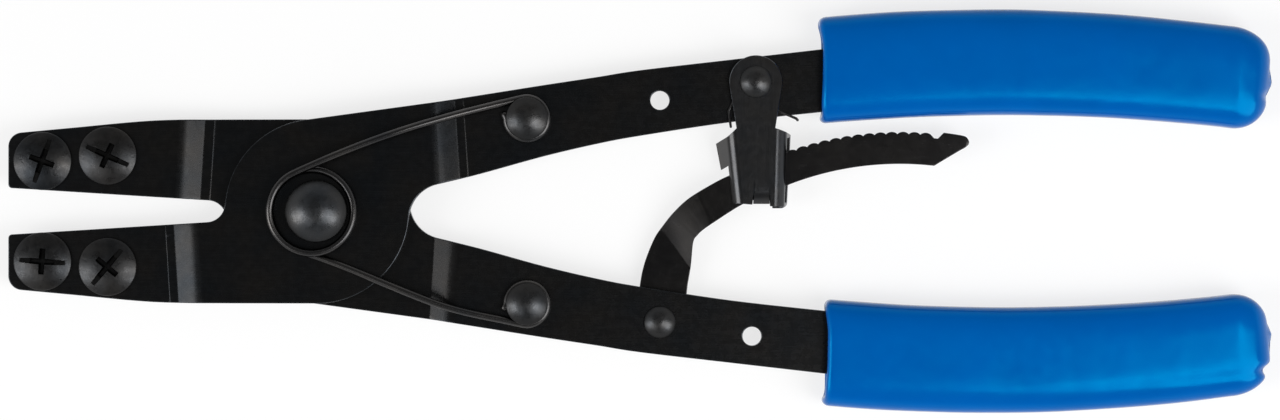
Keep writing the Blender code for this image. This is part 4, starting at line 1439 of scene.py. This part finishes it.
@dataclass(frozen=True)
class RatchetBar:
    """The toothed bar on the lower handle, joggled at its elbow."""

    layout: Layout
    depth: float = 10.2
    top: float = 107.6
    crest: Point = (76.2, 60.4)
    base_radius: float = 7.6
    base_height: float = 12.0
    base_back: float = 6.3
    base_front: float = 8.9
    waist: Point = (9.9, 18.0)
    inner: Point = (10.6, 25.2)
    arc_start: float = 32.0
    notch: float = 6.3
    heel: float = 6.4
    notch_depth: float = 1.5
    notch_half: float = 1.7
    nose: tuple[Point, ...] = (
        (10.2, 0.47),
        (11.5, 0.27),
        (11.9, 0.13),
        (11.5, 0.0),
        (10.6, -0.06),
        (7.4, -0.06),
    )
    shoulder: tuple[Point, ...] = (
        (0.02, 0.11),
        (0.06, 0.24),
        (0.13, 0.40),
        (0.20, 0.50),
        (0.29, 0.61),
        (0.42, 0.73),
        (0.60, 0.84),
        (0.78, 0.93),
    )
    elbow: tuple[Point, ...] = ((0.06, 0.16), (0.17, 0.31), (0.36, 0.50), (0.55, 0.685), (0.74, 0.85))
    teeth: int = 16
    pitch: float = 3.65
    tooth: float = 0.75
    tooth_steps: int = 8
    tooth_round: float = 0.7
    fold_low: tuple[Point, Point] = ((0.024, 1.147), (0.726, 0.750))
    fold_high: tuple[Point, Point] = ((1.255, 1.540), (1.519, 1.238))
    fold_shares: tuple[float, ...] = (0, 0.05, 0.1, 0.15, 0.2, 0.3, 0.7, 0.8, 0.85, 0.9, 0.95, 1)
    fold_soft: float = 0.15
    edge: float = 0.22

    def on_arc(self, radius: float, start: float, end: float, steps: int) -> list[Point]:
        """Points on the bar's arcs, in degrees clockwise from their crest."""
        centre = (self.crest[0], self.crest[1] - self.top)
        return arc(centre, radius, 90 - start, 90 - end, steps)

    def arc_angle(self, x: float, radius: float) -> float:
        """Where one of the arcs passes a distance to the right of the rivet."""
        return math.degrees(math.asin((x - self.crest[0]) / radius))

    def arc_height(self, x: float, radius: float) -> float:
        """Height of one of the arcs over the clip's rivet, at a distance to its right.

        Args:
            x: the distance.
            radius: of the arc.

        Returns:
            The height.
        """
        pin, catch = self.layout.bar_pin, self.layout.clip_pin
        angle = self.arc_angle(catch[0] + x - pin[0], radius)
        return self.on_arc(radius, angle, angle, 1)[0][1] - pin[1] - catch[1]

    def tooth_line(self) -> list[Point]:
        """Round-topped teeth along the top edge, from the notch back.

        Returns:
            The teeth's points.
        """
        pitch = math.degrees(self.pitch / self.top)
        first = self.notch - math.degrees(self.notch_half / self.top)
        points = []
        for tooth in range(self.teeth):
            for step in range(self.tooth_steps):
                rise = math.sin(math.pi * step / self.tooth_steps) ** self.tooth_round
                angle = first - pitch * (tooth + step / self.tooth_steps)
                points += self.on_arc(self.top - self.tooth * (1 - rise), angle, angle, 1)[:1]
        last = first - pitch * self.teeth
        return points + self.on_arc(self.top - self.tooth, last, last, 1)[:1]

    def stepped(self, low: Point, high: Point, shares: Sequence[Point]) -> list[Point]:
        """Points between two corners, from shares across and up."""
        return [(between(low, high, across)[0], between(low, high, up)[1]) for across, up in shares]

    def outline(self) -> list[Point]:
        """The bar's edge, anticlockwise from the base's left.

        Returns:
            Its points.
        """
        inner_radius = self.top - self.depth
        back = (-self.base_back, self.base_height)
        front = (self.base_front, self.base_height)
        arm = self.on_arc(inner_radius, self.arc_angle(self.arc_start, inner_radius), self.heel, 40)
        elbow = [self.inner] + self.stepped(self.inner, arm[0], self.elbow) + [arm[0]]
        nose = [arm[-1]]
        for angle, fall in self.nose:
            nose += self.on_arc(self.top - self.depth * fall, angle, angle, 1)[:1]
        teeth = self.tooth_line()
        cheek = math.degrees(self.notch_half / self.top)
        dip = self.on_arc(self.top - self.notch_depth, self.notch + cheek / 4, self.notch - cheek / 2, 2)
        shoulder = [teeth[-1]] + self.stepped(back, teeth[-1], self.shoulder)[::-1] + [back]
        points = arc((0, 0), self.base_radius, -180, 0, 30) + smooth([front, self.waist] + elbow, 5)
        return points + arm[1:-1] + smooth(nose, 5) + dip + teeth[:-1] + smooth(shoulder, 5)

    def side_of(self, point: Point, line: tuple[Point, Point]) -> float:
        """Distance of a point to the left of a line."""
        (x0, y0), (x1, y1) = line
        return ((point[0] - x0) * (y0 - y1) + (point[1] - y0) * (x1 - x0)) / math.dist(*line)

    def form(self) -> bmesh.types.BMesh:
        """The bar about its rivet, with its base behind the handle's plane.

        Returns:
            The form.
        """
        plan = self.layout
        form = pressing(self.outline(), plan.bar_sheet, [((0, 0), plan.rivet_hole)], self.edge)
        low = [(self.inner[0] * x, self.inner[1] * y) for x, y in self.fold_low]
        high = [(self.inner[0] * x, self.inner[1] * y) for x, y in self.fold_high]
        for share in self.fold_shares:
            score(form, between(low[0], high[0], share), between(low[1], high[1], share))
        drop = plan.face + plan.fit + plan.bar_sheet / 2
        for vertex in form.verts:
            past = self.side_of(vertex.co, low)
            before = -self.side_of(vertex.co, high)
            share = 1.0 if before <= 0 else max(past, 0) / (max(past, 0) + before)
            eased = share * share * (3 - 2 * share)
            vertex.co.z -= drop * (1 - share - (eased - share) * self.fold_soft)
        return form

    def build(self, finishes: Finishes) -> None:
        """Makes the bar.

        Args:
            finishes: every finish of the pliers.
        """
        x, y = self.layout.bar_pin
        form = shift(self.form(), (x, -y, self.layout.middle))
        put(form, "toothed_bar", Body.BAR, Slot.BLACK, finishes.bar_oxide, "ratchet_bar")


@dataclass(frozen=True)
class LockClip:
    """The folded clip that the bar runs through, and its wire spring."""

    layout: Layout
    bar: RatchetBar
    head: float = 8.4
    neck: float = 12.3
    width: float = 14.6
    length: float = 38.5
    flange: float = 7.5
    bend: Point = (1.9, 2.5)
    tab_bend: float = 0.9
    fold_angle: float = 50.0
    play: Place = (4.2, 3.6, 0.5)
    neck_share: float = 0.38
    window_share: float = 0.39
    leaf: tuple[Point, ...] = ((-0.550, 0.440), (-0.400, 1.000), (0.550, 1.030), (0.600, 0.405))
    back: tuple[Point, ...] = ((-0.829, 0.504), (-0.575, 1.000), (0.651, 1.020), (0.733, 0.431))
    tab: Point = (0.55, 3.6)
    curl: Point = (0.36, 0.74)
    curl_start: float = 0.86
    curl_lean: float = 0.35
    curl_fall: float = 2.0
    curl_power: float = 2.2
    curl_reach: float = 0.98
    slit: float = 0.02
    edge: float = 0.14
    wire: float = 0.45
    wire_leg: tuple[Point, Point] = ((-0.589, 0.242), (-0.541, 0.379))
    wire_arm: tuple[Point, Point] = ((0.493, 0.239), (0.877, 0.239))
    wire_turn: Point = (151.0, 20.0)
    wire_drop: float = 4.2

    def at(self, shares: Point, height: float) -> Place:
        """A place on the clip from shares of its width and length."""
        return (self.width * shares[0], -self.length * shares[1], height)

    def sheet(self) -> bmesh.types.BMesh:
        """The folded sheet's middle surface: leaf, flanges, the curled lip and the tab under the bar.

        Returns:
            The open sheet, about the clip's rivet.
        """
        front = self.layout.face + self.layout.clip_standoff + self.layout.clip_sheet / 2
        behind = front - self.flange
        neck = self.length * self.neck_share
        past = math.degrees((self.head - self.neck / 2) / neck)
        head = [(x, y, front) for x, y in arc((0, 0), self.head, -past, 180 + past, 40)]
        leaf = [self.at(shares, front) for shares in self.leaf]
        edge = [self.at(shares, behind) for shares in self.back]
        root = between(leaf[2], edge[2], self.tab[0])
        lip = [between(leaf[1], leaf[2], share) for share in self.curl]
        slit = between(leaf[1], leaf[2], self.curl[0] - self.slit)
        leans = (self.curl_lean, 0)
        lip_top = [(x + lean, -self.length * self.curl_start, front) for (x, _, _), lean in zip(lip, leans)]
        faces = [
            head
            + [(-self.neck / 2, -neck, front), leaf[0], leaf[1], slit]
            + lip_top
            + [lip[1], leaf[2], leaf[3], (self.neck / 2, -neck, front)],
            [leaf[0], edge[0], edge[1], leaf[1]],
            [leaf[2], root, edge[2], edge[3], leaf[3]],
            [root, (root[0] - self.tab[1], *root[1:]), (edge[2][0] - self.tab[1], *edge[2][1:]), edge[2]],
        ]
        rows = [lip_top]
        fall = self.length * (1 - self.curl_start)
        for share in (0.2, 0.4, 0.6, 0.8, 1):
            level = front - self.curl_fall * share**self.curl_power
            across = [between(top, foot, share)[0] for top, foot in zip(lip_top, lip)]
            rows.append([(x, lip_top[0][1] - fall * share * self.curl_reach, level) for x in across])
        for first, second in zip(rows, rows[1:]):
            faces.append([first[0], second[0], second[1], first[1]])
        form = bmesh.new()
        for face in faces:
            form.faces.new([form.verts.new(point) for point in face])
        bmesh.ops.remove_doubles(form, verts=form.verts, dist=WELD)
        for number, offset in enumerate((*self.bend, self.tab_bend)):
            folds = [line for line in form.edges if self.fold_of(line) == number]
            bmesh.ops.bevel(form, geom=folds, offset=offset, segments=10, profile=0.5, affect="EDGES")
        return form

    def fold_of(self, line: bmesh.types.BMEdge) -> int:
        """Which sharp fold an edge is: 0 the left, 1 the right, 2 the tab's, and -1 none.

        Args:
            line: the edge.

        Returns:
            The fold's number.
        """
        if len(line.link_faces) != 2 or math.degrees(line.calc_face_angle(0)) < self.fold_angle:
            return -1
        if line.calc_length() > self.length / 3:
            return int(line.verts[0].co.x > 0)
        return 2 if line.calc_length() < self.width / 3 else -1

    def thicken(self, form: bmesh.types.BMesh) -> bmesh.types.BMesh:
        """Gives the sheet its thickness to both sides.

        Args:
            form: the sheet, used up.

        Returns:
            The closed form.
        """
        mesh = bpy.data.meshes.new("sheet")
        form.to_mesh(mesh)
        form.free()
        obj = linked("sheet", mesh)
        sheet = obj.modifiers.new("sheet", "SOLIDIFY")
        sheet.thickness = self.layout.clip_sheet
        sheet.offset = 0
        sheet.use_even_offset = True
        solid = evaluated(obj)
        bmesh.ops.recalc_face_normals(solid, faces=solid.faces)
        return solid

    def bar_way(self) -> list[bmesh.types.BMesh]:
        """Cutters for the bar's way: under the pawl edge on the left and a window on the right.

        Returns:
            The two cutters, about the clip's rivet.
        """
        bar = self.bar
        above, below, beside = self.play
        far = 2 * self.length
        middle = self.width * self.leaf[1][0] / 2
        pawl = [
            (-self.width, -far),
            (middle, -far),
            (middle, bar.arc_height(middle, bar.top) + above),
            (-self.width, bar.arc_height(-self.width, bar.top) + above),
        ]
        start = self.width * self.window_share
        bottom = bar.arc_height(start, bar.top - bar.depth) - below
        window = [
            (start, bottom),
            (self.width, bottom),
            (self.width, bar.arc_height(self.width, bar.top) + above),
            (start, bar.arc_height(start, bar.top) + above),
        ]
        depth = self.layout.bar_sheet + 2 * beside
        under = shift(pressing(pawl, self.flange), (0, 0, (depth - self.flange) / 2))
        return [under, pressing(window, depth)]

    def spring_path(self) -> list[Place]:
        """The wire's middle line, from the leg at the clip's edge to the hook on the handle.

        Returns:
            Its points, about the clip's rivet.
        """
        plan = self.layout
        low = plan.face + plan.fit + self.wire
        high = plan.face + plan.clip_standoff + plan.clip_sheet / 2
        turn = arc((0, 0), plan.rivet_shank + plan.fit + self.wire, *self.wire_turn, 30)
        edge, end = [self.at(shares, low) for shares in self.wire_leg]
        foot, corner = [self.at(shares, low) for shares in self.wire_arm]
        catch = plan.clip_pin
        centre, half = plan.handle_at(catch[0] + corner[0])
        reach = centre - half - plan.fit - 2 * self.wire - catch[1]
        bend = (corner[0] + self.wire, reach - self.wire, low - 2 * self.wire)
        tip = (*end[:2], high)
        points = [tip, between(tip, edge, 0.5), edge] + [(x, y, low) for x, y in turn]
        return points + [foot, (corner[0], reach, low), bend, (*bend[:2], low - self.wire_drop)]

    def build(self, finishes: Finishes) -> None:
        """Makes the clip and its spring.

        Args:
            finishes: every finish of the pliers.
        """
        plan = self.layout
        place = (*plan.clip_pin, plan.middle)
        hole = pressing(arc((0, 0), plan.rivet_hole, 0, 360, 48)[:-1], self.flange)
        hole = shift(hole, (0, 0, plan.face + plan.clip_standoff))
        form = carve(self.thicken(self.sheet()), [hole] + self.bar_way())
        break_edges(form, self.edge, self.fold_angle)
        put(shift(form, place), "folded_clip", Body.CLIP, Slot.ZINC, finishes.clip, "lock_clip")
        form = shift(rod(self.spring_path(), self.wire, 12), place)
        put(form, "clip_wire", Body.FRONT, Slot.SPRING, finishes.wire, "clip_spring")


def held(share: float) -> float:
    """A share that stays between 0 and 1."""
    return max(0.0, min(1.0, share))


@dataclass(frozen=True)
class Grips:
    """The two dipped grips, open at the mouth and closed at the end."""

    layout: Layout
    thickness: float = 17.0
    squareness: float = 3.6
    sides: int = 112
    wall: float = 3.2
    rim: float = 2.0
    pocket: float = 12.0
    end_round: float = 11.6
    plan_round: float = 10.2
    edge_run: float = 5.0
    edge_round: float = 5.7
    slope_run: float = 10.0
    slope_drop: float = 1.8
    slope_power: float = 1.4
    end_gap: float = 0.3
    ripple: float = 0.01
    ripple_size: Place = (26.0, 15.0, 12.0)
    upper_mouth: Place = (-0.5, -1.6, -0.9)
    lower_mouth: Place = (1.0, -0.3, 0.5)
    mouth_wave: float = 0.18
    mouth_depth: float = 8.0
    mouth_run: float = 14.0
    nub_places: Point = (0.3, 1.9)
    nub_size: Point = (2.0, 2.4)
    nub_rise: float = 1.3
    tip_run: float = 7.0
    end_lean: float = 0.09
    lean_run: Point = (16.0, 14.0)
    dent_place: Point = (4.2, 4.0)
    dent_size: Point = (1.6, 4.0)
    dent_depth: float = 0.8
    crease_run: Point = (68.0, 60.0)
    crease_place: float = 9.2
    crease_width: float = 1.6
    crease_depth: float = 0.18
    crease_level: float = 5.0
    crease_notch: float = 2.4

    def ring(self, x: float, width: float, height: float, side: Side, mouth: float) -> list[Place]:
        """One section of the grip.

        Args:
            x: place of the section along the handle.
            width: half of its width.
            height: half of its height.
            side: of the tool.
            mouth: how strongly the rim's waves pull it along, from 0 to 1.

        Returns:
            The section's points.
        """
        plan = self.layout
        front, outer, inner = self.upper_mouth if side is Side.UPPER else self.lower_mouth
        long, wide, high = self.ripple_size
        made = []
        for k in range(self.sides):
            turn = math.tau * k / self.sides
            c, s = math.cos(turn), math.sin(turn)
            y = width * math.copysign(abs(c) ** (2 / self.squareness), c)
            z = height * math.copysign(abs(s) ** (2 / self.squareness), s)
            wave = self.mouth_wave * math.sin(5 * turn + side.value)
            rim = front * s * s + (outer if c > 0 else inner) * c * c + wave
            along = x + mouth * rim
            spot = Vector((along / long, y / wide + 7 * side.value, z / high))
            swell = 1 + self.ripple * noise(spot)
            made.append((along, (plan.grip_centre(along) + y * swell) * side.value, z * swell))
        return made

    def form(self, side: Side) -> bmesh.types.BMesh:
        """One grip about its own middle plane.

        Args:
            side: of the tool.

        Returns:
            The form.
        """
        plan = self.layout
        half = self.thickness / 2
        mouth = plan.run
        end = plan.run + plan.grip_length - self.end_gap
        rings = []
        for depth, extra in ((self.pocket, 3), (self.pocket, 0), (6, 0), (2.5, 0)):
            x = mouth + depth
            wall = self.wall + extra
            pull = max(0, 1 - depth / self.mouth_depth)
            rings.append(self.ring(x, plan.grip_half(x) - wall, half - wall, side, pull))
        for turn in range(0, 181, 20):
            lean = math.radians(turn)
            inset = self.wall * (1 + math.cos(lean)) / 2
            x = mouth + self.rim * (1 - math.sin(lean))
            rings.append(self.ring(x, plan.grip_half(x) - inset, half - inset, side, 1))
        stretch = end - self.end_round - mouth
        for i in range(1, 71):
            x = mouth + self.rim + (stretch - self.rim) * i / 70
            pull = max(0, 1 - (x - mouth) / self.mouth_run)
            rings.append(self.ring(x, plan.grip_half(x), half, side, pull))
        for turn in range(5, 91, 5):
            lean = math.radians(turn)
            back = self.end_round * (1 - math.sin(lean))
            slim = self.plan_round * (1 - math.cos(lean))
            flat = self.edge_round * (1 - math.sqrt(1 - max(0, 1 - back / self.edge_run) ** 2))
            flat += self.slope_drop * max(0, 1 - back / self.slope_run) ** self.slope_power
            rings.append(self.ring(end - back, plan.grip_half(end - back) - slim, half - flat, side, 0))
        form = loft(rings)
        for vertex in form.verts:
            if vertex.co.x > mouth + self.pocket:
                self.dip(vertex, side, end)
        return form

    def dip(self, vertex: bmesh.types.BMVert, side: Side, end: float) -> None:
        """Gives one point its share of the nub, the dent beside it and the lower grip's crease.

        Args:
            vertex: the point, moved in place.
            side: of the tool.
            end: where the grip ends.
        """
        x, y, z = vertex.co
        local = y * side.value - self.layout.grip_centre(x)
        start, run = self.lean_run
        vertex.co.x += self.end_lean * local * held((x - end + start) / run)
        tip = held((x - end + self.tip_run) / self.tip_run)
        where = local + self.nub_places[0 if side is Side.UPPER else 1]
        width, height = self.nub_size
        vertex.co.x += self.nub_rise * tip * math.exp(-((where / width) ** 2) - (z / height) ** 2)
        if side is Side.UPPER:
            (beside, level), (width, height) = self.dent_place, self.dent_size
            dent = math.exp(-(((where + beside) / width) ** 2) - ((z - level) / height) ** 2)
            vertex.co.x -= self.dent_depth * tip * dent
            return
        start, run = self.crease_run
        near = math.exp(-(((local - self.crease_place) / self.crease_width) ** 2))
        sink = self.crease_depth * held((x - end + start) / run) * near * min(1, abs(z) / self.crease_level)
        vertex.co.z -= math.copysign(sink, z)
        vertex.co.x -= self.crease_notch * tip * near

    def build(self, finishes: Finishes) -> None:
        """Makes both grips.

        Args:
            finishes: every finish of the pliers.
        """
        for side, body in ((Side.UPPER, Body.FRONT), (Side.LOWER, Body.BACK)):
            form = shift(self.form(side), (0, 0, self.layout.middle))
            name = f"{side.name.lower()}_grip"
            put(form, f"{name}_sleeve", body, Slot.VINYL, finishes.vinyl, name)


# studio


@dataclass(frozen=True)
class Studio:
    """A pale floor, three soft lamps, a dim ceiling and the camera overhead."""

    aim: Point = (102.3, 0.4)
    level: float = 10.0
    distance: float = 1500.0
    across: float = 406.0
    sensor: float = 36.0
    sight: float = 20.0
    floor_half: float = 9.0
    ceiling: float = 0.22
    fill: float = 0.3
    surround: float = 0.6
    floor: float = 0.95
    backdrop: float = 0.76
    far_side: Point = (0.4, 0.92)
    ceiling_rise: Point = (0.35, 0.75)
    far_rise: Point = (-0.1, 0.7)
    lamps: tuple[tuple[Place, Point, float], ...] = (
        ((-1145, -330, 950), (640, 960), 6.0),
        ((750, -330, 950), (560, 960), 5.6),
        ((-430, -470, 950), (440, 380), 1.7),
    )

    def camera(self) -> None:
        """Sets the camera square over the tool."""
        data = bpy.data.cameras.new("camera")
        data.sensor_width = self.sensor
        data.lens = self.sensor * self.distance / self.across
        data.clip_end = self.sight
        camera = linked("camera", data)
        camera.location = (self.aim[0] * MM, self.aim[1] * MM, (self.level + self.distance) * MM)
        bpy.context.scene.camera = camera

    def lamp(self, place: Place, size: Point, strength: float) -> None:
        """Hangs a soft lamp that faces the tool.

        Args:
            place: of the lamp.
            size: its width and height.
            strength: its radiance.
        """
        data = bpy.data.lights.new("softbox", "AREA")
        data.shape = "RECTANGLE"
        data.size, data.size_y = size[0] * MM, size[1] * MM
        data.energy = strength * math.pi * data.size * data.size_y
        lamp = linked("softbox", data)
        lamp.location = [v * MM for v in place]
        way = Vector((self.aim[0] - place[0], self.aim[1] - place[1], -place[2]))
        lamp.rotation_euler = way.to_track_quat("-Z", "Y").to_euler()

    def seen(self, tree: bpy.types.NodeTree) -> bpy.types.NodeSocket:
        """One for what the camera sees, straight or in a reflection, and zero for what lights the tool.

        Args:
            tree: where the nodes are added.

        Returns:
            Zero or one.
        """
        path = tree.nodes.new("ShaderNodeLightPath")
        found = path.outputs["Is Camera Ray"]
        for name in ("Is Glossy Ray", "Is Transmission Ray"):
            most = tree.nodes.new("ShaderNodeMath")
            most.operation = "MAXIMUM"
            tree.links.new(found, most.inputs[0])
            tree.links.new(path.outputs[name], most.inputs[1])
            found = most.outputs[0]
        return found

    def ground(self) -> None:
        """Lays the pale floor."""
        material = bpy.data.materials.new("pale_floor")
        material.use_nodes = True
        shader = material.node_tree.nodes["Principled BSDF"]
        shader.inputs["Base Color"].default_value = grey(self.floor)
        shader.inputs["Roughness"].default_value = 1
        shader.inputs["Specular IOR Level"].default_value = 0
        tree = material.node_tree
        white = tree.nodes.new("ShaderNodeEmission")
        share = tree.nodes.new("ShaderNodeMapRange")
        share.inputs["To Max"].default_value = self.backdrop
        tree.links.new(self.seen(tree), share.inputs["Value"])
        mix = tree.nodes.new("ShaderNodeMixShader")
        tree.links.new(share.outputs["Result"], mix.inputs[0])
        tree.links.new(shader.outputs[0], mix.inputs[1])
        tree.links.new(white.outputs[0], mix.inputs[2])
        tree.links.new(mix.outputs[0], tree.nodes["Material Output"].inputs["Surface"])
        mesh = bpy.data.meshes.new("floor")
        half = self.floor_half
        corners = [(-half, -half, 0), (half, -half, 0), (half, half, 0), (-half, half, 0)]
        mesh.from_pydata(corners, [], [(0, 1, 2, 3)])
        mesh.materials.append(material)
        linked("floor", mesh)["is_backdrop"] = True

    def world(self) -> None:
        """A dim ceiling over a pale surround, which the camera and reflections see as white."""
        world = bpy.data.worlds.new("studio")
        world.use_nodes = True
        bpy.context.scene.world = world
        tree = world.node_tree
        add, link = tree.nodes.new, tree.links.new
        shader = tree.nodes["Background"]
        coords = add("ShaderNodeTexCoord")
        split = add("ShaderNodeSeparateXYZ")
        link(coords.outputs["Generated"], split.inputs[0])
        seen = self.seen(tree)
        side, top, dusk = (add("ShaderNodeMapRange") for _ in range(3))
        levels = ((side, self.surround, 1), (top, self.fill, self.ceiling), (dusk, *self.far_side))
        for node, lit, shown in levels:
            link(seen, node.inputs["Value"])
            node.inputs["To Min"].default_value = lit
            node.inputs["To Max"].default_value = shown
        rise = add("ShaderNodeMapRange")
        rise.interpolation_type = "SMOOTHSTEP"
        link(split.outputs["Z"], rise.inputs["Value"])
        rise.inputs["From Min"].default_value, rise.inputs["From Max"].default_value = self.ceiling_rise
        link(side.outputs["Result"], rise.inputs["To Min"])
        link(top.outputs["Result"], rise.inputs["To Max"])
        far = add("ShaderNodeMapRange")
        link(split.outputs["Y"], far.inputs["Value"])
        far.inputs["From Min"].default_value, far.inputs["From Max"].default_value = self.far_rise
        far.inputs["To Min"].default_value = 1
        link(dusk.outputs["Result"], far.inputs["To Max"])
        product = add("ShaderNodeMath")
        product.operation = "MULTIPLY"
        link(rise.outputs["Result"], product.inputs[0])
        link(far.outputs["Result"], product.inputs[1])
        link(product.outputs[0], shader.inputs["Strength"])
        shader.inputs["Color"].default_value = (1, 1, 1, 1)

    def build(self) -> None:
        """Sets up the studio."""
        bpy.context.scene.view_settings.view_transform = "Standard"
        self.camera()
        for place, size, strength in self.lamps:
            self.lamp(place, size, strength)
        self.ground()
        self.world()
        LOG.info("studio: %d lamps", len(self.lamps))


def corners() -> list[list[float]]:
    """The shown object's lowest and highest corner."""
    return [list(corner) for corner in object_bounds()]


def main() -> None:
    """Builds the studio and every sub-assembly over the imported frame."""
    logging.basicConfig(level=logging.INFO, format="%(name)s: %(message)s")
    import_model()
    Studio().build()
    finishes = Finishes.make()
    layout = Layout()
    bar = RatchetBar(layout)
    for assembly in (
        Stampings(layout),
        Fasteners(layout),
        TipScrews(layout),
        ReturnSpring(layout),
        bar,
        LockClip(layout, bar),
        Grips(layout),
    ):
        assembly.build(finishes)


if __name__ == "__main__":
    main()
